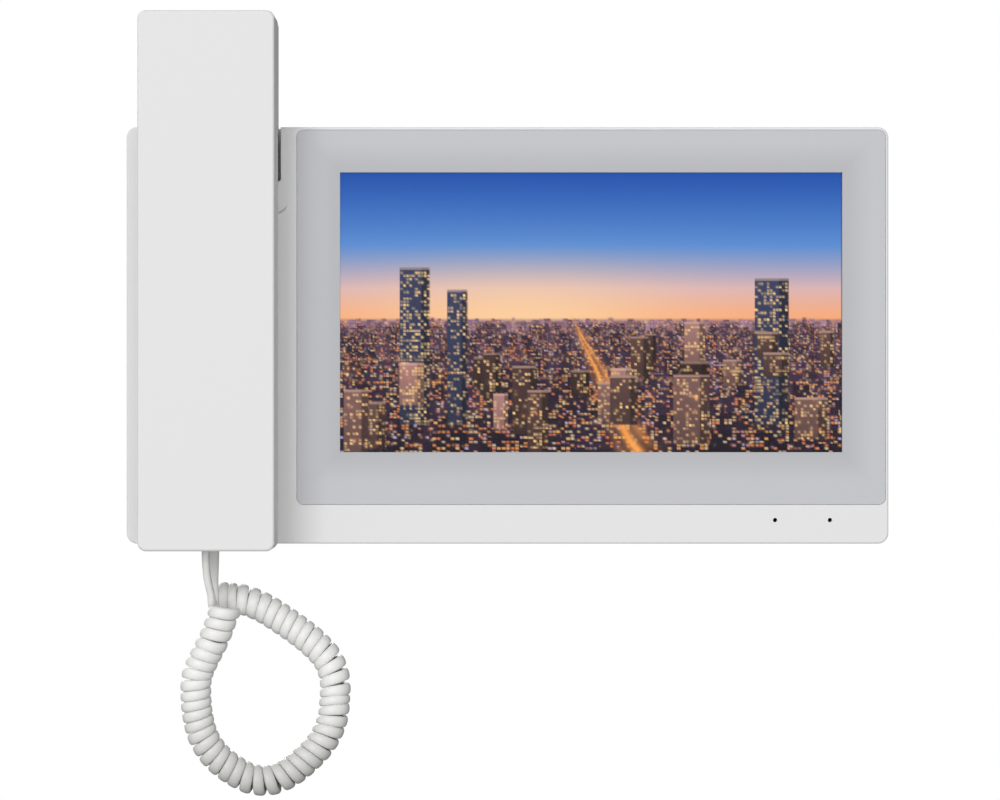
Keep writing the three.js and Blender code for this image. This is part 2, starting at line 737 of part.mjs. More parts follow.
function handsetInside() {
  const bumpInside = earBumpBack - wall;
  const { z, radius } = receiver;
  const gasket = turned(
    [[radius - 2.5, bumpInside - gap], [radius, bumpInside - gap], [radius, bumpInside - 1.3],
      [radius - 2.5, bumpInside - 1.3], [radius - 2.5, bumpInside - gap]],
    handsetX,
    z,
  );
  piece(handsetGroup, 'receiver_gasket', gasket, 'rubber');
  const top = bumpInside - 1.6;
  const capsule = turned(
    [[0, top], [radius, top], [radius, top - 3], [radius - 3, top - 4.5], [7, top - 4.5],
      [7, top - 6.5], [0, top - 6.5]],
    handsetX,
    z,
  );
  piece(handsetGroup, 'receiver', capsule, 'blackPlastic');
  const { x: micX, z: micZ } = handsetMicrophone;
  const boot = turned(
    [[0.8, -18.5], [3.6, -18.5], [3.6, -22.5], [2.7, -22.5], [2.7, -19.7], [0.8, -19.7], [0.8, -18.5]],
    micX,
    micZ,
    16,
  );
  piece(handsetGroup, 'handset_microphone_boot', boot, 'rubber');
  piece(handsetGroup, 'handset_microphone', rod(micX, micZ, 2.4, -20, -22.7), 'steel');
  const upper = block(handsetX - 13, handsetX + 13, bumpInside - gap, bumpInside - 2.8, 50.8, 60.6);
  piece(handsetGroup, 'handset_keeper_upper', upper, 'steel');
  const mouthInside = mouthBumpBack - wall;
  const lower = block(handsetX - 11, handsetX + 11, mouthInside - gap, mouthInside - 2.8, -45, -29);
  piece(handsetGroup, 'handset_keeper_lower', lower, 'steel');
  piece(handsetGroup, 'handset_lead', tube(leadRoute, leadRadius, leadRadius, 8, 20), 'rubber');
}

// ---- screws: a pan head and a shank along Y, head towards the wall ----
function screw(group, name, x, z, seatY, head, shank, length) {
  const profile = [
    [0, seatY + 0.55 * head],
    [0.7 * head, seatY + 0.55 * head],
    [head, seatY + 0.2 * head],
    [head, seatY],
    [shank, seatY],
    [shank, seatY - length + shank],
    [0, seatY - length],
  ];
  piece(group, name, turned(profile, x, z, 10), 'zinc');
}

function fasteners() {
  housingScrews.forEach(([x, z], i) => {
    screw(monitorGroup, `housing_screw_${i + 1}`, x, z, -4.7, 2.9, 1.35, 10);
  });
  handsetScrews.forEach((z, i) => {
    screw(handsetGroup, `handset_screw_${i + 1}`, handsetX, z, handsetBack - 2.1, 2.3, 1.15, 12);
  });
}

// ---- magnets behind the cradle's two wells, opposite the handset's keepers ----
function magnets() {
  const upper = block(handsetX - 12, handsetX + 12, splitPlane + gap, -9, 51, 60);
  piece(monitorGroup, 'cradle_magnet_upper', upper, 'magnet');
  const back = mouthWellFloor + wall + gap;
  const lower = block(handsetX - 10, handsetX + 10, back, back + 4, -44, -30);
  piece(monitorGroup, 'cradle_magnet_lower', lower, 'magnet');
}

// ---- the curly cord: two straight tails and the coil between them ----
function curlyCord() {
  const half = [cord.width / 2, cord.thickness / 2];
  piece(monitorGroup, 'cord_tail_base', tube(baseTailRoute, ...half, 8, 10), 'cordPlastic');
  piece(handsetGroup, 'cord_tail_handset', tube(handsetTailRoute, ...half, 8, 10), 'cordPlastic');
  piece(monitorGroup, 'cord_coil', tube(coilRoute, coilRadius, coilRadius, 10, 44), 'cordPlastic');
}

wallBracket();
rearHousing();
frontHousing();
frontGlass();
displayModule();
mainBoard();
loudspeaker();
microphones();
hookSwitch();
magnets();
cordJack(monitorGroup, 'base_cord_jack', baseJack);
cordPlug(monitorGroup, 'cord_plug_base', baseJack);
cordJack(handsetGroup, 'handset_cord_jack', handsetJack);
cordPlug(handsetGroup, 'cord_plug_handset', handsetJack);
handsetShells();
handsetInside();
fasteners();
curlyCord();

const intercom = new THREE.Group();
intercom.add(wallGroup, monitorGroup);

export default intercom;
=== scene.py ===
# A video intercom monitor on its wall bracket, with a handset on a curly cord.
# Shapes are worked out in millimetres and written to the meshes in metres.
import math

import bmesh
import bpy
import numpy as np
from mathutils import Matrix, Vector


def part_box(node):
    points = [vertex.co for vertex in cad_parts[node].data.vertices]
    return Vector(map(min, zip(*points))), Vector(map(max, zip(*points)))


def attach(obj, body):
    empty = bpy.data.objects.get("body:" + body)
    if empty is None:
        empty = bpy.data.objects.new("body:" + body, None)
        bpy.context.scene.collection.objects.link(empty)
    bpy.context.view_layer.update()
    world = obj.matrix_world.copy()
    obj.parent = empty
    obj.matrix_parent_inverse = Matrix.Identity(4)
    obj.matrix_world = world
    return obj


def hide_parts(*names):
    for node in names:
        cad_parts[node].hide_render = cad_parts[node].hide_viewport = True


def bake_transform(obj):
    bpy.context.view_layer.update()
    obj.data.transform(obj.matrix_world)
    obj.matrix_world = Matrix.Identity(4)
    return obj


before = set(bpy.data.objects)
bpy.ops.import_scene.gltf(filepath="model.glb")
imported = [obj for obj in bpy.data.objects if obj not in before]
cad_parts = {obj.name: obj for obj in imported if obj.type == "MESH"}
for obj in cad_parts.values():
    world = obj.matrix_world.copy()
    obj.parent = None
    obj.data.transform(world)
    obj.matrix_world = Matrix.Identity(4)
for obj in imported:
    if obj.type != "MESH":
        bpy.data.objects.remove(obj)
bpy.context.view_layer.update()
scene = bpy.context.scene
millimetre = 0.001
draw = np.random.default_rng(7)


def spanOf(node):
    # the node's box in millimetres
    low, high = (np.array(corner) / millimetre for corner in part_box(node))
    return {
        'left': low[0], 'right': high[0], 'front': low[1],
        'back': high[1], 'bottom': low[2], 'top': high[2],
    }


camera = {'place': (-0.0023, -1.273, -0.0199), 'lens': 146.9, 'sensor': 36}
studio = {
    'brightSide': (-0.40, -0.75, 0.53),
    'surroundDark': 0.12,
    'surroundBright': 0.52,
    'key': {'place': (-1.05, -2.55, 0.8), 'size': 1.4, 'power': 34, 'mirrored': True},
    'fill': {'place': (0.75, -2.6, -0.35), 'size': 1.6, 'power': 17.5, 'mirrored': False},
    'back': {'place': (-0.8, 2.4, 0.9), 'size': 1.6, 'power': 46, 'mirrored': True},
    'floorDrop': 1.2,
    'floorRadius': 10,
    'floorGlow': 0.4,
}


class Nodes:
    # a node tree, with one method that adds a node and hands back one of its outputs

    def __init__(self, tree):
        self.tree = tree
        tree.nodes.clear()

    def node(self, kind, settings=None, sockets=None, output=0):
        made = self.tree.nodes.new('ShaderNode' + kind)
        for name, value in (settings or {}).items():
            if name == 'stops':
                self.fillRamp(made.color_ramp, value)
            else:
                setattr(made, name, value)
        for name, value in (sockets or {}).items():
            if isinstance(value, Wire):
                self.tree.links.new(value.socket, made.inputs[name])
            else:
                made.inputs[name].default_value = value
        if not made.outputs:
            return made
        return Wire(self, made.outputs[output])

    def fillRamp(self, ramp, stops):
        while len(ramp.elements) < len(stops):
            ramp.elements.new(1)
        for element, (position, colour) in zip(ramp.elements, stops):
            element.position = position
            element.color = colour

    def mixColour(self, factor, first, second, blend='MIX'):
        settings = {'data_type': 'RGBA', 'blend_type': blend, 'clamp_factor': True}
        return self.node('Mix', settings, {0: factor, 6: first, 7: second}, 2)

    def bump(self, strength, depth, height):
        return self.node('Bump', {}, {'Strength': strength, 'Distance': depth, 'Height': height}, 'Normal')

    def mixShader(self, factor, first, second):
        return self.node('MixShader', {}, {0: factor, 1: first, 2: second})


class Wire:
    # a shader socket that can stand in a Python sum

    def __init__(self, owner, socket):
        self.owner = owner
        self.socket = socket

    def math(self, operation, *values):
        sockets = dict(enumerate(values))
        return self.owner.node('Math', {'operation': operation}, sockets)

    def __add__(self, other):
        return self.math('ADD', self, other)

    __radd__ = __add__

    def __mul__(self, other):
        return self.math('MULTIPLY', self, other)

    __rmul__ = __mul__

    def __sub__(self, other):
        return self.math('SUBTRACT', self, other)

    def __rsub__(self, other):
        return self.math('SUBTRACT', other, self)

    def spread(self, low, high):
        # 0 below low, 1 above high, smooth between
        settings = {'interpolation_type': 'SMOOTHSTEP'}
        sockets = {'Value': self, 'From Min': low, 'From Max': high}
        return self.owner.node('MapRange', settings, sockets)


def aim(thing, target):
    direction = np.array(target) - np.array(thing.location)
    flat = math.hypot(direction[0], direction[1])
    thing.rotation_euler = (math.atan2(flat, -direction[2]), 0, math.atan2(-direction[0], direction[1]))


def addCamera():
    lens = bpy.data.cameras.new('camera')
    lens.lens = camera['lens']
    lens.sensor_width = camera['sensor']
    lens.clip_end = 50
    thing = bpy.data.objects.new('camera', lens)
    thing.location = camera['place']
    thing.rotation_euler = (math.pi / 2, 0, 0)
    scene.collection.objects.link(thing)
    scene.camera = thing


def addSoftbox(name):
    values = studio[name]
    lamp = bpy.data.lights.new(name, 'AREA')
    lamp.shape = 'SQUARE'
    lamp.size = values['size']
    lamp.energy = values['power']
    thing = bpy.data.objects.new(name, lamp)
    thing.location = values['place']
    thing.visible_glossy = values['mirrored']
    aim(thing, (-0.02, -0.02, -0.02))
    scene.collection.objects.link(thing)


def addSurround():
    world = bpy.data.worlds.new('surround')
    world.use_nodes = True
    scene.world = world
    nodes = Nodes(world.node_tree)
    seen = nodes.node('LightPath', {}, {}, 'Is Camera Ray')
    white = nodes.node('Background', {}, {'Color': (1, 1, 1, 1), 'Strength': 1.0})
    # the room is brightest up to the left in front, and dark underneath and to the right
    direction = nodes.node('TexCoord', {}, {}, 'Generated')
    facing = nodes.node('VectorMath', {'operation': 'DOT_PRODUCT'},
                        {0: direction, 1: studio['brightSide']}, 'Value')
    rise = studio['surroundBright'] - studio['surroundDark']
    glow = studio['surroundDark'] + rise * facing.spread(-0.7, 0.95)
    soft = nodes.node('Background', {}, {'Color': (1, 1, 1, 1), 'Strength': glow})
    nodes.node('OutputWorld', {}, {'Surface': nodes.mixShader(seen, soft, white)})


def addFloor():
    # a disc: one ring of points round a centre point
    turn = np.linspace(0, 2 * np.pi, 96, endpoint=False)
    rim = studio['floorRadius'] * np.stack([np.cos(turn), np.sin(turn), 0 * turn], -1)
    points = np.vstack([rim, [[0, 0, 0]]])
    points[:, 2] = -studio['floorDrop']
    i = np.arange(len(turn))
    faces = np.stack([i, np.roll(i, -1), np.full(len(turn), len(turn))], -1)
    mesh = bpy.data.meshes.new('floor')
    mesh.from_pydata(points.tolist(), [], faces.tolist())
    floor = bpy.data.objects.new('floor', mesh)
    scene.collection.objects.link(floor)
    material = bpy.data.materials.new('floor')
    material.use_nodes = True
    nodes = Nodes(material.node_tree)
    speckle = nodes.node('TexNoise', {}, {'Scale': 3.0, 'Detail': 4.0}, 'Fac')
    shade = nodes.mixColour(speckle, (0.86, 0.86, 0.86, 1), (0.9, 0.9, 0.9, 1))
    surface = nodes.node('BsdfPrincipled', {}, {
        'Base Color': shade,
        'Roughness': 0.9,
        'Emission Color': (1, 1, 1, 1),
        'Emission Strength': studio['floorGlow'],
    })
    nodes.node('OutputMaterial', {}, {'Surface': surface})
    mesh.materials.append(material)
    # it shows under the object, but throws no light back up on it
    floor.visible_diffuse = False
    floor.visible_glossy = False


addCamera()
addSoftbox('key')
addSoftbox('fill')
addSoftbox('back')
addSurround()
addFloor()
scene.view_settings.view_transform = 'Standard'
print('studio ready')


def objectPlace(nodes):
    return nodes.node('TexCoord', {}, {}, 'Object')


def noise(nodes, place, scale, detail=2.0, roughness=0.5):
    sockets = {'Vector': place, 'Scale': scale, 'Detail': detail, 'Roughness': roughness}
    return nodes.node('TexNoise', {}, sockets, 'Fac')


def finishOf(name, surface, **constants):
    # surface(nodes, place) gives the sockets that vary; constants are set on the shader itself
    material = bpy.data.materials.new(name)
    material.use_nodes = True
    nodes = Nodes(material.node_tree)
    varying = surface(nodes, objectPlace(nodes))
    sockets = {key.replace('_', ' ').title().replace('Ior', 'IOR'): value for key, value in constants.items()}
    sockets.update(varying)
    shader = nodes.node('BsdfPrincipled', {}, sockets)
    nodes.node('OutputMaterial', {}, {'Surface': shader})
    return material


def mouldedPlastic(name, tone, shade, roughness, grain, relief, coat=0.0):
    # injection-moulded plastic: fine spark-eroded grain, faint flow marks and handling polish
    def surface(nodes, place):
        flow = noise(nodes, place, 9.0, 3.0)
        fine = noise(nodes, place, grain, 2.0, 0.6)
        wear = noise(nodes, place, 60.0, 4.0, 0.65)
        return {
            'Base Color': nodes.mixColour(flow * 0.6 + fine * 0.4, shade, tone),
            'Roughness': roughness + 0.10 * (wear - 0.5) + 0.06 * (fine - 0.5),
            'Normal': nodes.bump(relief, 0.00003, fine),
        }
    return finishOf(name, surface, coat_weight=coat, coat_roughness=0.25)


def brushedMetal(name, tone, shade, roughness, stretch, relief):
    # rolled or plated sheet: long fine scratches one way, cloudy plating
    def surface(nodes, place):
        drawn = nodes.node('Mapping', {}, {'Vector': place, 'Scale': stretch})
        scratch = noise(nodes, drawn, 900.0, 3.0, 0.7)
        cloud = noise(nodes, place, 70.0, 4.0)
        return {
            'Base Color': nodes.mixColour(cloud, shade, tone),
            'Roughness': roughness + 0.22 * (scratch - 0.5) + 0.12 * (cloud - 0.5),
            'Normal': nodes.bump(relief, 0.00002, scratch),
        }
    return finishOf(name, surface, metallic=1.0)


def spangledZinc():
    # galvanised sheet: crystal patches of slightly different grey, with a fine scratch over them
    def surface(nodes, place):
        spangle = nodes.node('TexVoronoi', {}, {'Vector': place, 'Scale': 420.0}, 'Color')
        patch = nodes.node('SeparateColor', {}, {'Color': spangle}, 'Red')
        fine = noise(nodes, place, 1500.0, 2.0)
        return {
            'Base Color': nodes.mixColour(patch, (0.70, 0.715, 0.73, 1), (0.80, 0.81, 0.825, 1)),
            'Roughness': 0.30 + 0.16 * patch + 0.08 * fine,
            'Normal': nodes.bump(0.12, 0.00003, fine),
        }
    return finishOf('zincPlate', surface, metallic=0.8)


def printedGlass():
    # glass with a silver-grey print on its back: even, faintly clouded, under a polished coat
    def surface(nodes, place):
        cloud = noise(nodes, place, 12.0, 3.0)
        smear = noise(nodes, nodes.node('Mapping', {}, {'Vector': place, 'Scale': (1, 1, 3)}), 30.0, 5.0, 0.6)
        flake = noise(nodes, place, 2600.0, 2.0)
        # painted shade: the print is darkened within 10 mm of the window's edge, a dark halo round the
        # display
        centre = nodes.node('VectorMath', {'operation': 'SUBTRACT'}, {0: place, 1: (0.0255, 0, 0.007)})
        offset = nodes.node('VectorMath', {'operation': 'ABSOLUTE'}, {0: centre})
        beyond = [
            nodes.node('SeparateXYZ', {}, {'Vector': offset}, name) - half
            for name, half in (('X', 0.07705), ('Z', 0.04305))
        ]
        furthest = nodes.node('Math', {'operation': 'MAXIMUM'}, dict(enumerate(beyond)))
        # share of painted shade: full at the window's edge, gone 10 mm out
        edge = 1 - furthest.spread(0.0, 0.010)
        tone = nodes.mixColour(cloud * 0.6 + flake * 0.4, (0.556, 0.560, 0.590, 1), (0.590, 0.594, 0.624, 1))
        return {
            'Base Color': nodes.mixColour(edge * 0.5, tone, (0.42, 0.422, 0.44, 1)),
            'Roughness': 0.34 + 0.08 * (smear - 0.5),
        }
    return finishOf('printedGlass', surface, coat_weight=1.0, coat_roughness=0.05, specular_ior_level=0.2)


def clearPane():
    # the unprinted window of the glass: see-through, with its mirror of the room on top
    material = bpy.data.materials.new('clearPane')
    material.use_nodes = True
    nodes = Nodes(material.node_tree)
    smear = noise(nodes, objectPlace(nodes), 45.0, 5.0, 0.6)
    gloss = nodes.node('BsdfGlossy', {}, {'Color': (1, 1, 1, 1), 'Roughness': 0.04})
    through = nodes.node('BsdfTransparent', {}, {'Color': (1, 1, 1, 1)})
    rim = nodes.node('Fresnel', {}, {'IOR': 1.18})
    shader = nodes.mixShader(rim * (0.6 + 0.2 * smear), through, gloss)
    nodes.node('OutputMaterial', {}, {'Surface': shader})
    return material


def cordPlastic():
    # soft vinyl: smooth skin with faint draw marks along the lead, and painted shade on its lowest turns
    def surface(nodes, place):
        along = nodes.node('UVMap', {'uv_map': 'wound'}, {}, 'UV')
        drawn = nodes.node('Mapping', {}, {'Vector': along, 'Scale': (14, 120, 1)})
        marks = noise(nodes, drawn, 1.0, 3.0)
        cloud = noise(nodes, place, 120.0, 3.0)
        fine = noise(nodes, place, 2400.0, 2.0)
        height = 0.7 * marks + 0.3 * fine
        clean = nodes.mixColour(cloud, (0.870, 0.866, 0.845, 1), (0.920, 0.917, 0.900, 1))
        # painted shade: the base colour darkens towards the lowest turns, standing in for the light falling
        # off below
        low = 1 - nodes.node('SeparateXYZ', {}, {'Vector': place}, 'Z').spread(-0.146, -0.104)
        return {
            'Base Color': nodes.mixColour(low * 0.9, clean, (0.56, 0.555, 0.535, 1)),
            'Roughness': 0.42 + 0.16 * (cloud - 0.5) + 0.10 * (fine - 0.5),
            'Normal': nodes.bump(0.25, 0.00005, height),
        }
    return finishOf('cordPlastic', surface, specular_ior_level=0.45)


def circuitBoard():
    # solder mask over copper: darker bare laminate between broad pale copper areas and fine tracks
    def surface(nodes, place):
        drawn = nodes.node('Mapping', {}, {'Vector': place, 'Scale': (1, 0.001, 1)})
        plan = nodes.node('TexBrick', {'offset': 0.35, 'squash': 1.6}, {
            'Vector': nodes.node('Mapping', {}, {'Vector': place, 'Rotation': (math.pi / 2, 0, 0)}),
            'Scale': 210.0, 'Mortar Size': 0.045, 'Brick Width': 0.9, 'Row Height': 0.22,
        }, 'Fac')
        patch = noise(nodes, drawn, 55.0, 1.0).spread(0.47, 0.53)
        tone = nodes.mixColour(plan, (0.012, 0.105, 0.045, 1), (0.035, 0.210, 0.085, 1))
        fine = noise(nodes, place, 1800.0, 2.0)
        return {
            'Base Color': nodes.mixColour(patch, tone, (0.020, 0.150, 0.062, 1)),
            'Roughness': 0.38 + 0.15 * fine,
            'Normal': nodes.bump(0.2, 0.00004, plan + 0.3 * fine),
        }
    return finishOf('circuitBoard', surface)


def weave(name, tone, shade, roughness, scale, relief):
    # a soft matt sheet or rubber with an even speckle
    def surface(nodes, place):
        speckle = noise(nodes, place, scale, 3.0, 0.7)
        broad = noise(nodes, place, 40.0, 2.0)
        return {
            'Base Color': nodes.mixColour(speckle * 0.5 + broad * 0.5, shade, tone),
            'Roughness': roughness + 0.12 * (speckle - 0.5),
            'Normal': nodes.bump(relief, 0.00008, speckle),
        }
    return finishOf(name, surface)


def clearPlastic():
    # clear moulding: mostly see-through, with a pale skin
    material = bpy.data.materials.new('clearPlastic')
    material.use_nodes = True
    nodes = Nodes(material.node_tree)
    haze = noise(nodes, objectPlace(nodes), 300.0, 3.0)
    skin = nodes.node('BsdfPrincipled', {}, {
        'Base Color': nodes.mixColour(haze, (0.72, 0.75, 0.77, 1), (0.86, 0.88, 0.89, 1)),
        'Roughness': 0.15 + 0.1 * haze,
    })
    through = nodes.node('BsdfTransparent', {}, {'Color': (0.95, 0.97, 0.98, 1)})
    nodes.node('OutputMaterial', {}, {'Surface': nodes.mixShader(0.35 + 0.15 * haze, through, skin)})
    return material


finishes = {
    'housing_plastic': mouldedPlastic(
        'housingPlastic', (0.785, 0.785, 0.776, 1), (0.765, 0.765, 0.756, 1), 0.46, 2600.0, 0.28,
    ),
    'handset_plastic': mouldedPlastic(
        'handsetPlastic', (0.845, 0.845, 0.835, 1), (0.820, 0.820, 0.810, 1), 0.38, 2600.0, 0.18,
    ),
    'black_plastic': mouldedPlastic(
        'blackPlastic', (0.020, 0.021, 0.023, 1), (0.012, 0.012, 0.013, 1), 0.5, 2200.0, 0.4,
    ),
    'terminal_plastic': mouldedPlastic(
        'terminalPlastic', (0.045, 0.330, 0.095, 1), (0.030, 0.270, 0.075, 1), 0.42, 1800.0, 0.3,
    ),
    'light_guide': mouldedPlastic(
        'lightGuide', (0.90, 0.91, 0.90, 1), (0.84, 0.86, 0.86, 1), 0.35, 1200.0, 0.2,
    ),
    'steel': brushedMetal('steel', (0.60, 0.61, 0.62, 1), (0.47, 0.48, 0.49, 1), 0.34, (1, 12, 1), 0.2),
    'magnet': brushedMetal('magnet', (0.52, 0.53, 0.55, 1), (0.40, 0.41, 0.43, 1), 0.28, (1, 1, 1), 0.1),
    'zinc_plate': spangledZinc(),
    'printed_glass': printedGlass(),
    'clear_plastic': clearPlastic(),
    'cord_plastic': cordPlastic(),
    'circuit_board': circuitBoard(),
    'rubber': weave('rubber', (0.030, 0.030, 0.031, 1), (0.017, 0.017, 0.018, 1), 0.8, 1400.0, 0.4),
    'felt': weave('felt', (0.012, 0.012, 0.012, 1), (0.004, 0.004, 0.004, 1), 0.9, 2400.0, 0.6),
    'adhesive': weave('adhesive', (0.016, 0.016, 0.016, 1), (0.008, 0.008, 0.008, 1), 0.85, 2000.0, 0.5),
    'polyimide': weave('polyimide', (0.56, 0.25, 0.045, 1), (0.46, 0.19, 0.030, 1), 0.4, 700.0, 0.1),
}
pane = clearPane()
print('finishes ready')


def area(left, right, bottom, top):
    return {'left': left, 'right': right, 'bottom': bottom, 'top': top}


def grown(shape, by):
    return area(shape['left'] - by, shape['right'] + by, shape['bottom'] - by, shape['top'] + by)


def square(x, z, half):
    return area(x - half, x + half, z - half, z + half)


def outline(shape, radius, inset, steps):
    # a rounded rectangle: four quarter circles of the radius left after the inset
    r = max(radius - inset, 0)
    quarter = np.arange(4)[:, None]
    turn = np.pi / 2 * (quarter - 1 + np.linspace(0, 1, steps + 1)[None, :])
    x = np.where(quarter < 2, shape['right'] - inset - r, shape['left'] + inset + r)
    z = np.where(quarter % 3 == 0, shape['bottom'] + inset + r, shape['top'] - inset - r)
    return np.stack([x + r * np.cos(turn), z + r * np.sin(turn)], -1).reshape(-1, 2)


def loft(rings):
    # rings of n points joined by quads and closed by a flat cap at each end, facing outwards
    levels, n = rings.shape[:2]
    start = np.arange(levels - 1)[:, None] * n
    here = np.arange(n)[None, :]
    after = (here + 1) % n
    quads = np.stack([start + here, start + after, start + n + after, start + n + here], -1).reshape(-1, 4)
    points = rings.reshape(-1, 3)
    faces = quads.tolist() + [list(range(n))[::-1], list(range((levels - 1) * n, levels * n))]
    a, b, c, d = (points[quads[:, k]] - points[0] for k in range(4))
    volume = np.sum(np.cross(b, c) * a) + np.sum(np.cross(c, d) * a)
    centre = rings.mean(axis=1)
    cap = np.cross(rings[-1] - centre[-1], np.roll(rings[-1], -1, 0) - centre[-1]).sum(0)
    volume += np.dot(cap, centre[-1] - points[0])
    if volume < 0:
        faces = [face[::-1] for face in faces]
    return points, faces


def carried(shape, radius, levels, steps=6, along='y'):
    # the outline at each [depth, inset], carried along y, or along z where asked
    rings = []
    for depth, inset in levels:
        flat = outline(shape, radius, inset, steps)
        level = np.full(len(flat), depth)
        columns = [flat[:, 0], level, flat[:, 1]] if along == 'y' else [flat[:, 0], flat[:, 1], level]
        rings.append(np.stack(columns, -1))
    return loft(np.array(rings))


def slab(shape, back, front, radius=0, steps=0, along='y'):
    return carried(shape, radius, [[back, 0], [front, 0]], steps, along)


def eased(shape, radius, back, front, backEdge, frontEdge, steps=8, arc=5):
    # a plate whose back and front edges are quarter rounds
    turn = np.linspace(0, np.pi / 2, arc + 1)
    levels = [[back, 0]]
    if backEdge:
        levels = [[back - backEdge * (1 - math.cos(t)), backEdge * (1 - math.sin(t))] for t in turn]
    if frontEdge:
        levels += [[front + frontEdge * (1 - math.sin(t)), frontEdge * (1 - math.cos(t))] for t in turn]
    else:
        levels += [[front, 0]]
    return carried(shape, radius, levels, steps)


def pocket(shape, radius, floor, face, lip, foot=0, steps=6, arc=4, outward=-1):
    # a cutter from the floor up past the face: a round foot at the floor, a flared lip at the face
    turn = np.linspace(0, np.pi / 2, arc + 1)
    levels = [[floor, 0]]
    if foot:
        levels = [[floor + outward * foot * (1 - math.cos(t)), foot * (1 - math.sin(t))] for t in turn]
    for t in turn:
        levels.append([face - outward * lip * (1 - math.sin(t)), -lip * (1 - math.cos(t))])
    levels.append([face + outward, -lip])
    return carried(shape, radius, levels, steps)


def hole(x, z, radius, floor, face, lip, steps=5, outward=-1):
    return pocket(square(x, z, radius), radius, floor, face, lip, 0, steps, 3, outward)


def rod(x, z, radius, back, front, steps=6):
    return slab(square(x, z, radius), back, front, radius, steps)


def together(parts):
    # several separate closed shapes as one set of points and faces
    points = np.vstack([part[0] for part in parts])
    starts = np.cumsum([0] + [len(part[0]) for part in parts[:-1]])
    faces = [[v + start for v in face] for part, start in zip(parts, starts) for face in part[1]]
    return points, faces


def objectOf(name, part):
    points, faces = part
    mesh = bpy.data.meshes.new(name)
    mesh.from_pydata((np.asarray(points) * millimetre).tolist(), [], faces)
    thing = bpy.data.objects.new(name, mesh)
    scene.collection.objects.link(thing)
    return thing


def carve(thing, steps):
    # joins, cuts and keeps, one after another, written into the mesh
    tools = []
    for operation, parts in steps:
        tool = objectOf('tool', together(parts))
        tools.append(tool)
        modifier = thing.modifiers.new(operation, 'BOOLEAN')
        modifier.operation = {'join': 'UNION', 'cut': 'DIFFERENCE', 'keep': 'INTERSECT'}[operation]
        modifier.solver = 'MANIFOLD'
        modifier.object = tool
    view = bpy.context.evaluated_depsgraph_get()
    mesh = bpy.data.meshes.new_from_object(thing.evaluated_get(view))
    thing.modifiers.clear()
    thing.data = mesh
    for tool in tools:
        bpy.data.objects.remove(tool)


def shapeOf(part, steps):
    # a part carved on its own, to be used in another carving
    thing = objectOf('cutter', part)
    carve(thing, steps)
    shape = [v.co / millimetre for v in thing.data.vertices], [list(f.vertices) for f in thing.data.polygons]
    bpy.data.objects.remove(thing)
    return shape


def tidyShading(thing, sharp=30, weld=0.002):
    # merged points, smooth curves, hard edges kept, flat faces shaded flat
    mesh = thing.data
    shape = bmesh.new()
    shape.from_mesh(mesh)
    bmesh.ops.remove_doubles(shape, verts=shape.verts, dist=weld * millimetre)
    bmesh.ops.dissolve_degenerate(shape, edges=shape.edges, dist=weld * millimetre)
    shape.to_mesh(mesh)
    shape.free()
    mesh.shade_smooth()
    mesh.set_sharp_from_angle(angle=math.radians(sharp))
    weighted = thing.modifiers.new('even', 'WEIGHTED_NORMAL')
    weighted.keep_sharp = True


def place(thing, body, slot, *nodes):
    # the piece's finish, the body it rides on and the nodes it stands for
    if not thing.data.materials:
        thing.data.materials.append(finishes[slot])
    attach(thing, body)
    if nodes:
        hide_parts(*nodes)


cordSet = {
    'width': 3.2, 'thickness': 2.3, 'helixRadius': 3.6, 'turns': 47.25, 'turnWidth': 3.5,
    'pointsPerTurn': 28, 'sectionPoints': 16, 'squareness': 2.65, 'tailStep': 0.6, 'opening': 3.0,
    'unevenness': 0.04, 'looseEnd': 16, 'easing': 14, 'looseness': 0.2,
}
coilRoute = [
    (-90.7, -10.4, -80.6), (-87.7, -10.6, -80.9), (-81.5, -11.3, -81.7), (-75.6, -11.9, -84.0),
    (-69.7, -12.6, -87.6), (-64.3, -13.3, -91.3), (-59.6, -14.0, -95.1), (-55.3, -14.6, -99.9),
    (-53.2, -15.3, -105.8), (-53.2, -16.0, -112.1), (-53.9, -16.6, -118.2), (-56.6, -17.3, -124.3),
    (-60.9, -18.0, -129.3), (-66.3, -18.8, -133.8), (-72.1, -19.5, -136.5), (-78.5, -20.1, -136.3),
    (-84.2, -20.8, -133.4), (-89.5, -21.5, -129.0), (-93.1, -22.2, -123.4), (-94.8, -22.9, -117.2),
    (-95.4, -23.6, -110.8), (-95.1, -24.2, -104.6), (-93.0, -24.9, -99.3), (-89.5, -25.6, -92.4),
    (-86.2, -26.3, -83.5),
]
baseTailRoute = [
    (-90.9, -8.1, -63.2), (-90.9, -8.1, -65.2), (-90.9, -8.5, -67.6), (-90.9, -9.6, -70.2),
    (-90.9, -11.0, -72.6), (-90.9, -12.3, -74.8),
]
handsetTailRoute = [
    (-92.1, -28.5, -65.4), (-92.1, -28.5, -68.2), (-91.9, -28.1, -71.4), (-91.6, -27.0, -74.6),
    (-91.1, -25.6, -77.4), (-90.6, -24.4, -79.6),
]

# the lead's way behind the last turn, from the coil's side to the handset's tail
foldRoute = [(-83.2, -22.2, -85.0), (-86.2, -20.4, -85.5), (-89.2, -21.2, -84.4), (-90.5, -23.2, -82.0)]


def smoothLine(points, step):
    # a Catmull-Rom curve through the points, cut into even steps
    known = np.array(points, float)
    known = np.vstack([2 * known[0] - known[1], known, 2 * known[-1] - known[-2]])
    t = np.linspace(0, len(points) - 1, 40 * len(points))
    i = np.minimum(t.astype(int), len(points) - 2)
    f = (t - i)[:, None]
    a, b, c, d = (known[i + k] for k in range(4))
    line = 0.5 * (
        2 * b + (c - a) * f + (2 * a - 5 * b + 4 * c - d) * f ** 2 + (3 * b - a - 3 * c + d) * f ** 3
    )
    travelled = lengthsAlong(line)
    even = np.linspace(0, travelled[-1], max(2, round(travelled[-1] / step)) + 1)
    return resampled(line, travelled, even)


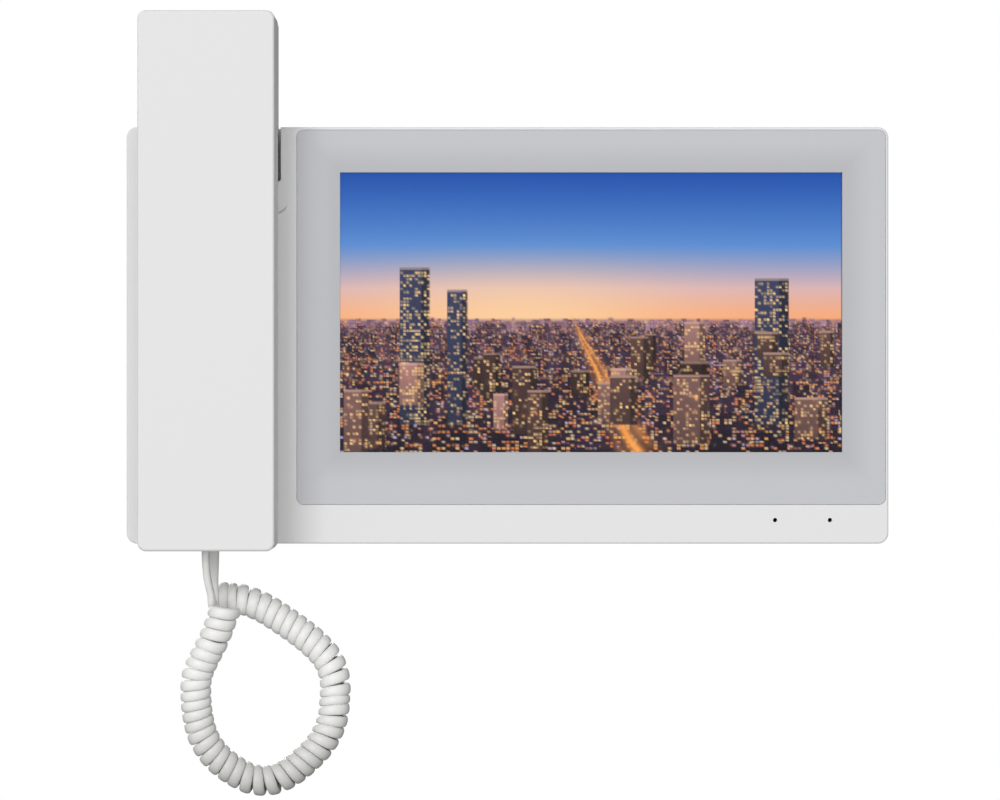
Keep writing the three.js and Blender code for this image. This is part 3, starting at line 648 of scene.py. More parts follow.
def lengthsAlong(line):
    return np.concatenate([[0], np.cumsum(np.linalg.norm(np.diff(line, axis=0), axis=1))])


def resampled(line, travelled, places):
    return np.stack([np.interp(places, travelled, line[:, k]) for k in range(3)], -1)


def unit(vectors):
    return vectors / np.linalg.norm(vectors, axis=-1, keepdims=True)


def softened(values, reach):
    # a running mean with its ends held
    padded = np.pad(values, [(reach, reach)] + [(0, 0)] * (values.ndim - 1), 'edge')
    kernel = np.hanning(2 * reach + 3)[1:-1]
    kernel = kernel / kernel.sum()
    columns = padded.reshape(len(padded), -1).T
    return np.stack([np.convolve(c, kernel, 'valid') for c in columns], -1).reshape(values.shape)


def helixLine():
    # centreline, outward direction and band width of the wound stretch
    axis = smoothLine(coilRoute, 0.25)
    axis = softened(axis, 8)
    travelled = lengthsAlong(axis)
    heading = unit(np.gradient(axis, travelled, axis=0))
    bend = softened(np.gradient(heading, travelled, axis=0), 6)
    towards = np.array([0.0, -1.0, 0.0])
    front = unit(towards - (heading @ towards)[:, None] * heading)
    side = np.cross(heading, front)
    # turns stand wider apart on the axis where it bends, because they touch on the inside
    uneven = softened(draw.normal(size=len(axis)), 14)
    uneven *= cordSet['unevenness'] / uneven.std()
    pitch = (1 + cordSet['opening'] * np.linalg.norm(bend, axis=1)) * (1 + uneven)
    # the handset's weight has drawn its end of the coil a little open
    nearEnd = np.clip(1 - (travelled[-1] - travelled) / cordSet['looseEnd'], 0, 1)
    pitch *= 1 + cordSet['looseness'] * nearEnd ** 0.5
    phase = np.concatenate([[0], np.cumsum(np.diff(travelled) / (0.5 * (pitch[1:] + pitch[:-1])))])
    phase *= cordSet['turns'] / phase[-1]
    even = np.linspace(0, cordSet['turns'], round(cordSet['turns'] * cordSet['pointsPerTurn']) + 1)
    along = np.interp(even, phase, travelled)
    turn = 2 * np.pi * even[:, None]
    forward, sideways, bending = (resampled(each, travelled, along) for each in (front, side, bend))
    outward = np.cos(turn) * forward + np.sin(turn) * sideways
    outward = unit(outward)
    line = resampled(axis, travelled, along) + cordSet['helixRadius'] * outward
    squeeze = 1 - cordSet['helixRadius'] * np.sum(bending * outward, 1)
    localPitch = np.gradient(along, even) * squeeze
    width = np.minimum(cordSet['turnWidth'], 0.985 * localPitch)
    return line, outward, width


def joinedLine():
    # base tail, helix and handset tail as one line, with curves between them
    coil, outward, width = helixLine()
    base = smoothLine(baseTailRoute, cordSet['tailStep'])
    hand = smoothLine(handsetTailRoute, cordSet['tailStep'])[::-1]
    into = bridge(base[-1], base[-1] - base[-2], coil[0], coil[1] - coil[0])
    fold = smoothLine([coil[-1], *foldRoute, hand[0]], cordSet['tailStep'])[1:-1]
    line = np.vstack([base, into, coil, fold, hand])
    # its flat side goes on round the back of the coil and ends up facing left
    angle = np.linspace(0, np.pi, len(fold))[:, None]
    facing = np.vstack([
        np.tile([0.0, -1.0, 0.0], (len(base) + len(into), 1)),
        outward,
        np.cos(angle) * [1.0, 0, 0] + np.sin(angle) * [0, 1.0, 0],
        np.tile([-1.0, 0.0, 0.0], (len(hand), 1)),
    ])
    full = cordSet['width']
    widths = np.concatenate([
        np.full(len(base) + len(into), full), width, np.full(len(fold) + len(hand), full),
    ])
    # round off the joins
    ends = len(base) + len(into), len(line) - len(hand) - len(fold)
    place = np.arange(len(line))
    share = np.clip(1 - np.minimum(place - ends[0], ends[1] - place) / cordSet['easing'], 0, 1)
    share[[0, -1]] = 0
    line += share[:, None] * (softened(line, 3) - line)
    return line, softened(facing, 5), softened(widths, 3)


def bridge(start, startWay, end, endWay):
    # a Hermite curve between two loose ends, its own ends left out
    reach = np.linalg.norm(end - start)
    t = np.linspace(0, 1, max(4, round(reach / cordSet['tailStep'])))[1:-1, None]
    a = reach * unit(startWay)
    b = reach * unit(endWay)
    return (
        (2 * t ** 3 - 3 * t ** 2 + 1) * start + (t ** 3 - 2 * t ** 2 + t) * a
        + (3 * t ** 2 - 2 * t ** 3) * end + (t ** 3 - t ** 2) * b
    )


def curlyCord():
    # a rounded flat section swept along the line, its thickness always across the coil's wall
    line, facing, widths = joinedLine()
    travelled = lengthsAlong(line)
    heading = unit(np.gradient(line, axis=0))
    thick = unit(facing - np.sum(facing * heading, 1)[:, None] * heading)
    wide = np.cross(heading, thick)
    turn = np.linspace(0, 2 * np.pi, cordSet['sectionPoints'], endpoint=False)
    power = 2 / cordSet['squareness']
    across = np.sign(np.cos(turn)) * np.abs(np.cos(turn)) ** power / 2
    through = np.sign(np.sin(turn)) * np.abs(np.sin(turn)) ** power / 2
    rings = line[:, None] + (
        across[None, :, None] * widths[:, None, None] * wide[:, None]
        + through[None, :, None] * cordSet['thickness'] * thick[:, None]
    )
    cord = objectOf('curly_cord', loft(rings))
    cord.data.shade_smooth()
    n = len(turn)
    loopVertex = np.zeros(len(cord.data.loops), int)
    cord.data.loops.foreach_get('vertex_index', loopVertex)
    around = (loopVertex % n) / n
    wound = cord.data.uv_layers.new(name='wound')
    wound.data.foreach_set('uv', np.stack([around, travelled[loopVertex // n] / 100], -1).ravel())
    cord.data.materials.append(finishes['cord_plastic'])
    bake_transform(cord)
    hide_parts('cord_tail_base', 'cord_coil', 'cord_tail_handset')
    print(f'cord: {travelled[-1]:.0f} mm long')


curlyCord()


# a node's span also serves as its area
bodySpan = spanOf('front_housing')
glassSpan = spanOf('front_glass')
earWell = area(-112.4, -69.5, 47.2, 70)
mouthWell = area(-108.2, -73.4, -70, -21)
lcdWindow = area(-57.5, 108.5, -43.6, 57.6)
housingScrews = [(110.9, 50), (110.9, -57), (-61.5, 55), (-62, -57), (-110.5, 38), (-110.5, -14)]
handsetSpan = spanOf('handset_outer_shell')
handsetX = (handsetSpan['left'] + handsetSpan['right']) / 2

mouthRoom = 0.8, 0.7


def plugMouth(node):
    # the opening that a plug goes up through, seen from below, with room beside and before it
    plug = spanOf(node)
    beside, before = mouthRoom
    return area(plug['left'] - beside, plug['right'] + beside, plug['front'] - before, plug['back'] + before)


frontSet = {
    'face': -23.0, 'split': -13.0, 'corner': 3.2, 'edge': 0.6, 'hollow': 2.2, 'inner': -20.8,
    'pocketFloor': -20.3, 'pocketGap': 0.08, 'glassCorner': 2.1, 'lip': 0.07, 'wellLip': 0.35,
    'earFloor': -14.8, 'mouthFloor': -15.6, 'scoop': (-70.9, 40.5, 3.4), 'scoopDepth': 0.5, 'scoopLip': 0.02,
    'scoopRise': (0.05, 0.083), 'nick': (0.36, 0.8, 0.9),
    'boss': 2.9, 'bore': 1.7, 'pinHoles': (82, 98.8), 'pinHeight': -56.7, 'pinRadius': 0.66,
    'plungerHalf': 3.6, 'plungerHeight': 30,
}


def frontHousing():
    s = frontSet
    face = s['face']
    within = eased(bodySpan, s['corner'], s['split'], face, 0, s['edge'])
    housing = objectOf('front_shell', within)
    opening = grown(glassSpan, s['pocketGap'])
    x, z, radius = s['scoop']
    scoopPoints, scoopFaces = pocket(
        square(x, z, radius), radius, face + s['scoopDepth'], face, s['scoopLip'], 0, 16)
    # the floor slopes up to the face, to the right and upwards
    floor = np.isclose(scoopPoints[:, 1], face + s['scoopDepth'])
    riseX, riseZ = s['scoopRise']
    slope = (scoopPoints[:, 0] - x + radius) * riseX + (scoopPoints[:, 2] - z + radius) * riseZ
    scoopPoints[floor, 1] -= slope[floor]
    # a crescent nick along its lower right edge: what one circle leaves beside another
    right, up, depth = s['nick']
    nick = shapeOf(rod(x, z, radius, face + depth, face - 1, 16), [
        ('cut', [rod(x + right, z + up, radius, face + depth + 1, face - 2, 16)]),
    ])
    bosses = [rod(bx, bz, s['boss'], -8.3, s['inner'] - 0.2) for bx, bz in housingScrews]
    carve(housing, [
        ('cut', [slab(grown(bodySpan, -s['hollow']), 0, s['inner'])]),
        ('join', [slab(grown(opening, 1.2), s['pocketFloor'] + 1.8, face + 1)]),
        ('join', [slab(grown(earWell, 1.9), s['split'], face + 1)]),
        ('join', [slab(grown(mouthWell, 1.9), s['mouthFloor'] + 2, face + 1)]),
        ('keep', [eased(bodySpan, s['corner'], s['split'], face, 0, s['edge'])]),
        ('join', bosses),
        ('cut', [pocket(opening, s['glassCorner'] + s['pocketGap'], s['pocketFloor'], face, s['lip'])]),
        ('cut', [slab(lcdWindow, 0, -26)]),
        ('cut', [pocket(earWell, 0.6, s['earFloor'], face, s['wellLip'], 0.6)]),
        ('cut', [pocket(mouthWell, 0.6, s['mouthFloor'], face, s['wellLip'], 0.6)]),
        ('cut', [(scoopPoints, scoopFaces)]),
        ('cut', [nick]),
        ('cut', [pocket(square(handsetX, s['plungerHeight'], s['plungerHalf']), 0.5, -18, face, s['lip'])]),
        ('cut', [hole(px, s['pinHeight'], s['pinRadius'], -18, face, 0.1) for px in s['pinHoles']]),
        ('cut', [rod(bx, bz, s['bore'], 0, -16.5) for bx, bz in housingScrews]),
    ])
    tidyShading(housing)
    place(housing, 'monitor', 'housing_plastic', 'front_housing')


rearSet = {
    'back': -0.6, 'front': -12.7, 'step': 0.6, 'edge': 1.6, 'wall': 2, 'recessFloor': -2.6,
    'recess': area(-58, 58, -47, 41), 'window': area(-24, 24, -45, 3), 'recessCorner': 3,
    'hookX': 36, 'hookZ': (24, -22), 'hookHalf': 6, 'hookTop': 1.05, 'hookDrop': 9.2,
    'sleeve': 4.6, 'counterbore': 3.3, 'bore': 1.7, 'vents': 9, 'ventStart': 2, 'ventPitch': 11,
    'ventWidth': 7, 'grilleX': -91.5, 'grilleZ': -0.5, 'grilleRadius': 15, 'grillePitch': 4, 'slot': 0.9,
}


def rearHousing():
    s = rearSet
    outside = grown(bodySpan, -s['step'])
    back = s['back']
    housing = objectOf('rear_shell', eased(outside, frontSet['corner'], back, s['front'], s['edge'], 0))
    hollow = shapeOf(slab(grown(outside, -s['wall']), s['front'] - 1, back - s['wall']), [
        ('cut', [slab(grown(s['recess'], s['wall']), s['recessFloor'] - s['wall'], 0)]),
    ])
    hooks = []
    for x in (-s['hookX'], s['hookX']):
        for z in s['hookZ']:
            top = z + s['hookTop']
            hooks.append(pocket(area(x - s['hookHalf'], x + s['hookHalf'], top - s['hookDrop'], top),
                                0.6, -6, s['recessFloor'], 0.3, outward=1))
    sleeves = shapeOf(together([rod(x, z, s['sleeve'], back - 0.3, -8) for x, z in housingScrews]), [
        ('keep', [slab(grown(outside, -0.5), 0, frontSet['split'])]),
    ])
    vents = []
    for i in range(s['vents']):
        x = s['ventStart'] + s['ventPitch'] * i
        vent = area(x, x + s['ventWidth'], -8, -5)
        vents.append(slab(vent, outside['top'] - 4, outside['top'] + 1, 1.2, 5, 'z'))
    slots = []
    for i in range(-3, 4):
        z = s['grilleZ'] + s['grillePitch'] * i
        half = math.sqrt(s['grilleRadius'] ** 2 - (s['grillePitch'] * i) ** 2)
        shape = area(s['grilleX'] - half, s['grilleX'] + half, z - s['slot'], z + s['slot'])
        slots.append(pocket(shape, s['slot'], -4, back, 0.3, outward=1))
    mouth = plugMouth('cord_plug_base')
    carve(housing, [
        ('cut', [hollow]),
        ('cut', [pocket(s['recess'], s['recessCorner'], s['recessFloor'], back, 0.5, 0.4, outward=1)]),
        ('cut', [pocket(s['window'], 2, -6, s['recessFloor'], 0.4, outward=1)]),
        ('cut', hooks),
        ('join', [sleeves]),
        ('cut', [hole(x, z, s['counterbore'], -5, back, 0.35, 7, 1) for x, z in housingScrews]),
        ('cut', [rod(x, z, s['bore'], 1, -9) for x, z in housingScrews]),
        ('cut', vents),
        ('cut', slots),
        ('cut', [slab(mouth, outside['bottom'] - 1, outside['bottom'] + s['wall'] + 0.5, 0.5, 3, 'z')]),
    ])
    tidyShading(housing)
    place(housing, 'monitor', 'housing_plastic', 'rear_housing')


frontHousing()
rearHousing()
print('housings ready')


displaySpan = spanOf('display_cell')
glassSet = {
    'corner': 2.1, 'chamfer': 0.12, 'screenX': 25.5, 'screenZ': 7, 'screenHalf': (77.05, 43.05),
    'windowX': 25.62, 'windowZ': 6.97, 'windowHalf': (76.95, 42.88),
}


def frontGlass():
    s = glassSet
    lens = objectOf('glass_front', eased(
        glassSpan, s['corner'], glassSpan['back'], glassSpan['front'], 0, s['chamfer'], 8, 3))
    half = s['windowHalf']
    shape = bmesh.new()
    shape.from_mesh(lens.data)
    for axis, centre, reach in ((0, s['windowX'], half[0]), (2, s['windowZ'], half[1])):
        for side in (-1, 1):
            normal = [0, 0, 0]
            normal[axis] = 1
            at = [0, 0, 0]
            at[axis] = (centre + side * reach) * millimetre
            everything = shape.verts[:] + shape.edges[:] + shape.faces[:]
            bmesh.ops.bisect_plane(shape, geom=everything, plane_co=at, plane_no=normal)
    for face in shape.faces:
        middle = face.calc_center_median() / millimetre
        inside = abs(middle.x - s['windowX']) < half[0] and abs(middle.z - s['windowZ']) < half[1]
        face.material_index = 1 if inside else 0
    shape.to_mesh(lens.data)
    shape.free()
    lens.data.materials.append(finishes['printed_glass'])
    lens.data.materials.append(pane)
    tidyShading(lens)
    place(lens, 'monitor', 'printed_glass', 'front_glass')


frontGlass()


pictureSet = {
    'columns': 414, 'rows': 232, 'horizon': 0.52, 'oversampling': 2,
    'floorHeight': 0.0115, 'windowWidth': 0.006, 'rimTone': (20, 24, 32), 'rimShare': 0.5,
    'roofRows': 8, 'blocks': 22, 'farLamps': 700, 'nearLamps': 260,
    # evening tones, from the top of the sky to the horizon and from there to the foot
    'sky': [(0, (30, 80, 170)), (0.5, (90, 140, 210)), (0.8, (220, 180, 180)), (1, (250, 170, 120))],
    'ground': [(0, (130, 100, 120)), (0.3, (80, 60, 80)), (1, (40, 30, 45))],
    'glowPlace': 0.36, 'glowReach': 0.3, 'glowTone': (255, 220, 170),
    'lampTones': [(0, (255, 240, 200)), (0.4, (255, 190, 100)), (0.8, (255, 130, 80)), (1, (200, 200, 255))],
    # middle, half width, top and share lit of three plain towers
    'towers': [(0.15, 0.030, 0.34, 0.50), (0.235, 0.020, 0.42, 0.35), (0.86, 0.034, 0.38, 0.45)],
    'avenue': ((0.60, 1.02), (0.47, 0.54), 0.050, 0.004),
}


def mixed(low, high, share):
    return low * (1 - share[..., None]) + np.asarray(high) * share[..., None]


def ramp(position, stops):
    # colours between stops, each stop a place and an sRGB colour
    places = [stop[0] for stop in stops]
    return np.stack([np.interp(position, places, [stop[1][k] for stop in stops]) for k in range(3)], -1)


def skyColours(u, v):
    # one upright ramp with a soft glow where the sun has set
    s = pictureSet
    height = v / s['horizon']
    glow = np.exp(-((u - s['glowPlace']) / s['glowReach']) ** 2 - ((1 - height) / 0.3) ** 2)
    return mixed(ramp(height, s['sky']), s['glowTone'], 0.7 * glow)


def roofRow(picture, u, v, depth):
    # a row of flat roofs side by side, each with its own width, height and lit windows
    base = pictureSet['horizon'] + 0.02 + 0.46 * depth ** 1.5
    narrow, wide = 0.005 + 0.017 * depth, 0.014 + 0.036 * depth
    count = int(1.3 / narrow)
    edges = np.concatenate([[0], np.cumsum(draw.uniform(narrow, wide, count))])
    block = np.minimum(np.searchsorted(edges, u, 'right') - 1, count)
    heights = draw.uniform(0.3, 1, count + 1) * (0.02 + 0.065 * depth) * (draw.random(count + 1) > 0.15)
    inside = (v > base - heights[block]) & (v < base + 0.08)
    shades = draw.uniform(0.75, 1.2, count + 1)
    face = ramp(depth ** 0.5 + 0 * u, pictureSet['ground']) * shades[block][..., None]
    across, down = round(2.4 / narrow), round(1.9 / narrow)
    cell = (v * down).astype(int), (u * across).astype(int)
    lit = draw.random((down + 2, across + 2))[cell] < 0.26 + 0.12 * depth
    glow = ramp(draw.random((down + 2, across + 2))[cell], pictureSet['lampTones'])
    pane = (u * across % 1 > 0.2) & (v * down % 1 > 0.3) & inside
    return mixed(np.where(inside[..., None], face, picture), glow, 0.8 * (pane & lit))


def addBlock(picture, u, v, middle, half, top, foot, tone, share):
    # one building: a face, a narrower side in shade, a pale roof line and rows of windows
    side = (u - middle) / half
    inside = (np.abs(side) < 1) & (v > top) & (v < foot)
    fall = np.clip((v - top) / (foot - top), 0, 1)
    face = np.array(tone) * (np.where(side > 0.45, 0.66, 1.0) * (1 - 0.25 * fall))[..., None]
    face = mixed(face, (235, 195, 170), 0.5 * (v < top + 0.008))
    floor = ((v - top) / pictureSet['floorHeight']).clip(0, 90)
    column = ((side + 1) * half / pictureSet['windowWidth']).clip(0, 30)
    lot = draw.random((92, 32, 2))[floor.astype(int), column.astype(int)]
    lit = (lot[..., 0] < share) & (floor % 1 > 0.32) & (column % 1 > 0.18) & (v > top + 0.014)
    face = mixed(face, (255, 210, 140), lit * (0.4 + 0.6 * lot[..., 1]))
    return np.where(inside[..., None], face, picture)


def addRoad(picture, u, v, start, end, broad, narrow):
    # a strip of light trails from one point to another
    way = np.array([end[0] - start[0], (end[1] - start[1]) * 9 / 16])
    length = np.hypot(*way)
    along = ((u - start[0]) * way[0] + (v - start[1]) * 9 / 16 * way[1]) / length ** 2
    across = ((v - start[1]) * 9 / 16 * way[0] - (u - start[0]) * way[1]) / length
    breadth = broad + (narrow - broad) * np.clip(along, 0, 1)
    ends = np.clip((0.5 - np.abs(along - 0.5)) * 8 + 0.6, 0, 1)
    lanes = 0.72 + 0.28 * np.sin(across / breadth * 9 + 3 * np.sin(along * 7))
    return mixed(picture, (255, 165, 80), ends * lanes * np.exp(-(across / breadth * 1.4) ** 2))


def addLamps(picture, u, v, x, y, size):
    # small round glows
    power = draw.uniform(0.35, 1.0, len(x))
    tone = ramp(draw.random(len(x)), pictureSet['lampTones'])
    for i in range(len(x)):
        reach = 6 * size[i]
        columns = slice(max(0, int((x[i] - reach) * u.shape[1])), int((x[i] + reach) * u.shape[1]) + 2)
        tall = reach * 16 / 9
        rows = slice(max(0, int((y[i] - tall) * u.shape[0])), int((y[i] + tall) * u.shape[0]) + 2)
        gap = (u[rows, columns] - x[i]) ** 2 + ((v[rows, columns] - y[i]) * 9 / 16) ** 2
        share = power[i] * (np.exp(-gap / size[i] ** 2) + 0.12 * np.exp(-gap / (3 * size[i]) ** 2))
        picture[rows, columns] = mixed(picture[rows, columns], tone[i], np.clip(share, 0, 1))
    return picture


def townPicture():
    # an invented town at dusk, in linear light, for a grid of rows and columns, first row at the top
    s = pictureSet
    fine, horizon = s['oversampling'], s['horizon']
    u, v = np.meshgrid(np.linspace(0, 1, fine * s['columns']), np.linspace(0, 1, fine * s['rows']))
    ground = ramp((v - horizon) / (1 - horizon), s['ground'])
    picture = mixed(skyColours(u, v), ground, np.clip((v - horizon) * 60, 0, 1))
    for depth in np.linspace(0, 1, s['roofRows']):
        picture = roofRow(picture, u, v, depth)
    far = horizon + 0.01 + 0.46 * draw.beta(1.1, 3.4, s['farLamps'])
    size = 0.001 + 0.003 * (far - horizon) + 0.0007 * draw.random(s['farLamps'])
    picture = addLamps(picture, u, v, draw.random(s['farLamps']), far, size)
    picture = addRoad(picture, u, v, *s['avenue'])
    for middle, half, top, share in s['towers']:
        picture = addBlock(picture, u, v, middle, half, top, 0.9, (60, 65, 95), share)
    for foot in np.linspace(0.66, 1.02, s['blocks']):
        nearness = (foot - horizon) / (1 - horizon)
        half = draw.uniform(0.012, 0.03) * (0.5 + 0.8 * nearness)
        top = foot - draw.uniform(0.08, 0.2) * (0.5 + nearness)
        tone = np.array([150, 110, 105]) * draw.uniform(0.35, 1.2)
        picture = addBlock(picture, u, v, draw.random(), half, top, foot, tone, draw.uniform(0.15, 0.5))
    near = draw.uniform(0.66, 0.98, s['nearLamps'])
    spot = draw.random(s['nearLamps'])
    picture = addLamps(picture, u, v, spot, near, draw.uniform(0.0013, 0.0028, s['nearLamps']))
    rim = np.clip(1 - np.minimum(np.minimum(u, 1 - u) * 16 / 9, np.minimum(v, 1 - v)) / 0.004, 0, 1)
    picture = mixed(picture, s['rimTone'], s['rimShare'] * rim)
    picture = picture.reshape(s['rows'], fine, s['columns'], fine, 3).mean((1, 3))
    colour = np.clip(picture / 255, 0, 1)
    return np.where(colour < 0.04045, colour / 12.92, ((colour + 0.055) / 1.055) ** 2.4)


def litPicture():
    # light from the picture itself, under a smooth polariser
    material = bpy.data.materials.new('litPicture')
    material.use_nodes = True
    nodes = Nodes(material.node_tree)
    shown = nodes.node('VertexColor', {'layer_name': 'shown'}, {}, 'Color')
    shader = nodes.node('BsdfPrincipled', {}, {
        'Base Color': (0.004, 0.004, 0.005, 1),
        'Roughness': 0.4,
        'Specular IOR Level': 0.05,
        'Emission Color': shown,
        'Emission Strength': 1.0,
    })
    nodes.node('OutputMaterial', {}, {'Surface': shader})
    return material


def displayCell():
    # a thin slab whose front is a fine grid carrying the picture's colours
    s = pictureSet
    centreX, centreZ = glassSet['screenX'], glassSet['screenZ']
    halfX, halfZ = glassSet['screenHalf']
    x = np.linspace(centreX - halfX, centreX + halfX, s['columns'])
    z = np.linspace(centreZ + halfZ, centreZ - halfZ, s['rows'])
    gridX, gridZ = np.meshgrid(x, z)
    front = np.stack([gridX, np.full_like(gridX, displaySpan['front']), gridZ], -1).reshape(-1, 3)
    index = np.arange(len(front)).reshape(s['rows'], s['columns'])
    quads = np.stack([index[:-1, :-1], index[1:, :-1], index[1:, 1:], index[:-1, 1:]], -1).reshape(-1, 4)
    rim = np.concatenate([index[0, :-1], index[:-1, -1], index[-1, :0:-1], index[:0:-1, 0]])
    behind = front[rim].copy()
    behind[:, 1] = displaySpan['front'] + 0.45
    backIndex = len(front) + np.arange(len(rim))
    sides = np.stack([rim, np.roll(rim, -1), np.roll(backIndex, -1), backIndex], -1)
    faces = quads.tolist() + sides.tolist() + [backIndex.tolist()]
    screen = objectOf('display_picture', (np.vstack([front, behind]), faces))
    shown = screen.data.color_attributes.new('shown', 'FLOAT_COLOR', 'POINT')
    colours = np.ones((len(front) + len(rim), 4))
    colours[:len(front), :3] = townPicture().reshape(-1, 3)
    colours[len(front):, :3] = 0
    shown.data.foreach_set('color', colours.ravel())
    screen.data.materials.append(litPicture())
    place(screen, 'monitor', 'display')
    cell = objectOf('display_panel', slab(
        displaySpan, displaySpan['back'], displaySpan['front'] + 0.5, 0.4, 2))
    cell.data.materials.append(finishes['black_plastic'])
    tidyShading(cell)
    place(cell, 'monitor', 'display', 'display_cell')


displayCell()
print('glass and display ready')


handsetSet = {
    'corner': 2.6, 'edge': 0.85, 'front': -44.0, 'seam': -33.9, 'gap': 0.3, 'back': -23.7, 'wall': 2,
    'ear': area(-111.2, -70.45, 48.2, 97.2), 'earBack': -15.4, 'mouth': area(-107.4, -74.2, -65.1, -22),
    'mouthBack': -16.2, 'screws': (40, -12), 'soundZ': 76, 'soundPitch': 3.4, 'soundRadius': 0.8,
    'microphone': (-101.3, -56), 'frontBoss': 3.2, 'backBoss': 4, 'bore': 1.5, 'counterbore': 2.7,
    'through': -40,
}


def handsetShells():
    s = handsetSet
    seam = s['seam'] + s['gap']
    outer = objectOf('handset_front_shell', eased(
        handsetSpan, s['corner'], s['seam'], s['front'], 0.25, s['edge'], 8, 6))
    carve(outer, [
        ('cut', [slab(grown(handsetSpan, -s['wall']), 0, s['front'] + s['wall'])]),
        ('join', [rod(handsetX, z, s['frontBoss'], s['seam'], s['front'] + 1) for z in s['screws']]),
        ('cut', [rod(handsetX, z, s['bore'], 0, s['front'] + 3) for z in s['screws']]),
    ])
    tidyShading(outer)
    place(outer, 'handset', 'handset_plastic', 'handset_outer_shell')

    inner = objectOf('handset_back_shell', eased(handsetSpan, s['corner'], s['back'], seam, 0.8, 0.25, 8, 5))
    rings = [(0, 0)] + [
        (s['soundPitch'] * ring * math.cos(turn), s['soundPitch'] * ring * math.sin(turn))
        for ring in (1, 2)
        for turn in np.linspace(0, 2 * np.pi, 6 * ring, endpoint=False)
    ]
    counterbores = [
        hole(handsetX, z, s['counterbore'], s['back'] - 2.4, s['back'], 0.3, 6, 1) for z in s['screws']
    ]
    innerFace = s['earBack'] - s['wall'] - 1
    sound = [
        hole(handsetX + x, s['soundZ'] + z, s['soundRadius'], innerFace, s['earBack'], 0.2, 4, 1)
        for x, z in rings
    ]
    micX, micZ = s['microphone']
    mouth = plugMouth('cord_plug_handset')
    bottom = s['mouth']['bottom']
    carve(inner, [
        ('join', [eased(s['ear'], s['corner'], s['earBack'], seam - 1, 1.2, 0, 8, 5)]),
        ('join', [eased(s['mouth'], s['corner'], s['mouthBack'], seam - 1, 1.2, 0, 8, 5)]),
        ('cut', [slab(grown(handsetSpan, -s['wall']), s['back'] - s['wall'], s['through'])]),
        ('cut', [slab(grown(s['ear'], -s['wall']), s['earBack'] - s['wall'], s['through'])]),
        ('cut', [slab(grown(s['mouth'], -s['wall']), s['mouthBack'] - s['wall'], s['through'])]),
        ('join', [rod(handsetX, z, s['backBoss'], s['back'] - 0.5, seam) for z in s['screws']]),
        ('cut', [rod(handsetX, z, s['bore'], 0, s['through']) for z in s['screws']]),
        ('cut', counterbores),
        ('cut', sound),
        ('cut', [hole(micX, micZ, 0.8, s['mouthBack'] - s['wall'] - 1, s['mouthBack'], 0.2, 4, 1)]),
        ('cut', [slab(mouth, bottom - 1.5, bottom + s['wall'] + 0.1, 0.5, 3, 'z')]),
    ])
    tidyShading(inner)
    place(inner, 'handset', 'handset_plastic', 'handset_inner_shell')


handsetShells()
print('handset ready')


screwSet = {
    'housing': ('monitor', 'housing_screw_', 6), 'handset': ('handset', 'handset_screw_', 2),
    'terminal': ('monitor', 'terminal_screw_', 4),
    # shares of a head's radius or height, then the thread in millimetres
    'headShare': 0.55, 'shankShare': 0.47, 'wing': 0.13, 'reach': 0.58, 'recess': 0.62,
    'pitch': 1.1, 'crest': 0.22, 'sides': 20,
}


def threaded(x, z, radius, back, front):
    # a shank whose radius rises and falls once for each turn of thread, pointed at its far end
    pitch, sides = screwSet['pitch'], screwSet['sides']
    steps = round((back - front) / pitch * 4)
    y = np.linspace(back, front, steps + 1)
    r = radius + screwSet['crest'] * (np.cos(2 * np.pi * (y - back) / pitch) - 1) / 2
    r *= np.clip((y - front) / radius + 0.15, 0.15, 1)
    turn = np.linspace(0, 2 * np.pi, sides, endpoint=False)
    rings = np.stack([
        x + r[:, None] * np.cos(turn), np.repeat(y[:, None], sides, 1), z + r[:, None] * np.sin(turn),
    ], -1)
    return loft(rings)


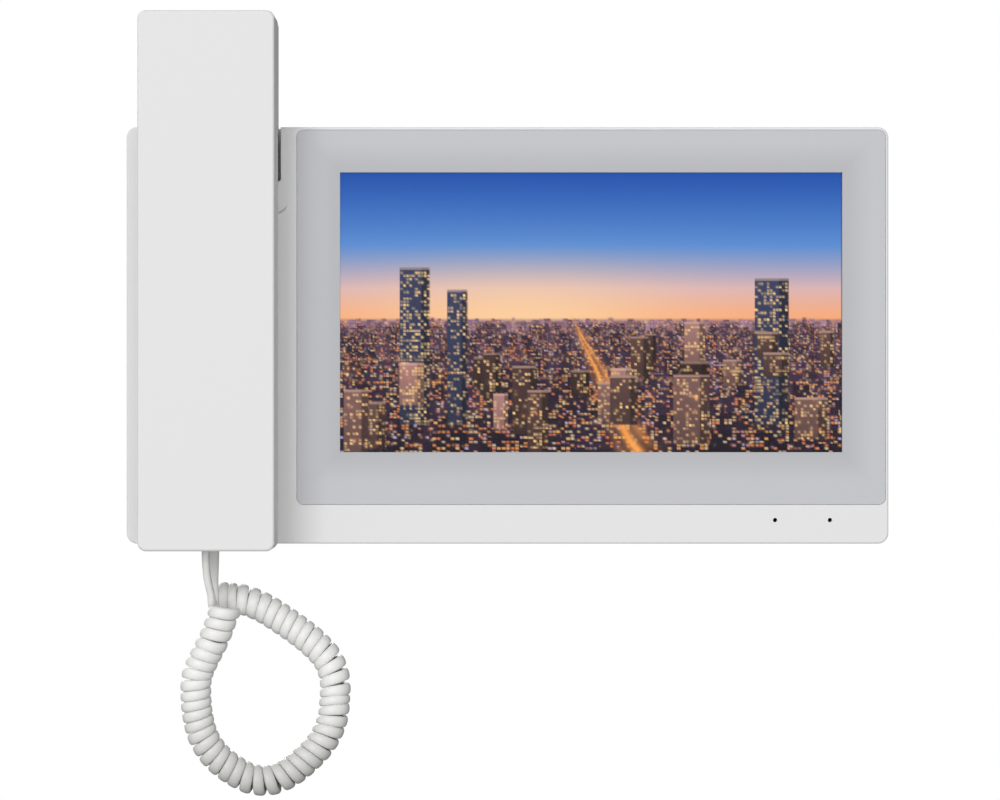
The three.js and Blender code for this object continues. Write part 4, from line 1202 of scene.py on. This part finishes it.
def addScrews():
    # pan heads with a cross recess, and slotted heads in the terminal
    s = screwSet
    for kind in ('housing', 'handset', 'terminal'):
        body, prefix, count = s[kind]
        for number in range(1, count + 1):
            box = spanOf(f'{prefix}{number}')
            x, z = (box['left'] + box['right']) / 2, (box['bottom'] + box['top']) / 2
            radius = (box['right'] - box['left']) / 2
            slotted = kind == 'terminal'
            height = box['back'] - box['front'] if slotted else s['headShare'] * radius
            seat = box['back'] - height
            head = objectOf(f'{kind}_screw_head_{number}', eased(
                square(x, z, radius), radius, box['back'], seat, 0.45 * height, 0.08, 8, 5))
            floor = box['back'] - s['recess'] * height
            wing, reach = s['wing'] * radius, s['reach'] * radius
            wide = 2 * reach if slotted else reach
            above = box['back'] + 1
            cuts = [('cut', [slab(area(x - wide, x + wide, z - wing, z + wing), above, floor)])]
            if not slotted:
                cuts.append(('cut', [slab(area(x - wing, x + wing, z - reach, z + reach), above, floor)]))
                shank = threaded(x, z, s['shankShare'] * radius, seat + 0.2, box['front'])
                cuts.append(('join', [shank]))
            carve(head, cuts)
            tidyShading(head)
            place(head, body, 'zinc_plate', f'{prefix}{number}')


addScrews()
print('screws ready')


keptPieces = {
    'zinc_plate': (['wall_bracket', 'processor_shield'], 0.2),
    'steel': (['display_tray', 'hook_spring', 'handset_keeper_upper', 'handset_keeper_lower'], 0.15),
    'felt': (['microphone_1', 'microphone_2', 'handset_microphone'], 0.15),
    'magnet': (['cradle_magnet_upper', 'cradle_magnet_lower'], 0.3),
    'light_guide': (['light_guide'], 0.1),
    'adhesive': (['glass_adhesive_frame'], 0),
    'polyimide': (['display_ribbon'], 0),
    'circuit_board': (['main_board', 'hook_switch_board'], 0.1),
    'black_plastic': (['processor', 'network_jack', 'loudspeaker', 'hook_plunger', 'hook_switch',
                       'base_cord_jack', 'handset_cord_jack', 'receiver'], 0.2),
    'terminal_plastic': (['bus_terminal'], 0.2),
    'rubber': (['loudspeaker_gasket', 'microphone_boot_1', 'microphone_boot_2', 'handset_microphone_boot',
                'receiver_gasket', 'handset_lead'], 0.12),
    'clear_plastic': (['cord_plug_base', 'cord_plug_handset'], 0.25),
}


def finishKept():
    for slot, (nodes, edge) in keptPieces.items():
        for node in nodes:
            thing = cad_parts[node]
            thing.data.materials.clear()
            thing.data.materials.append(finishes[slot])
            weld = thing.modifiers.new('weld', 'WELD')
            weld.merge_threshold = 0.000005
            if edge:
                bevel = thing.modifiers.new('edge', 'BEVEL')
                bevel.width = edge * millimetre
                bevel.segments = 3
                bevel.angle_limit = math.radians(35)
                bevel.harden_normals = False


finishKept()
print('kept pieces ready')
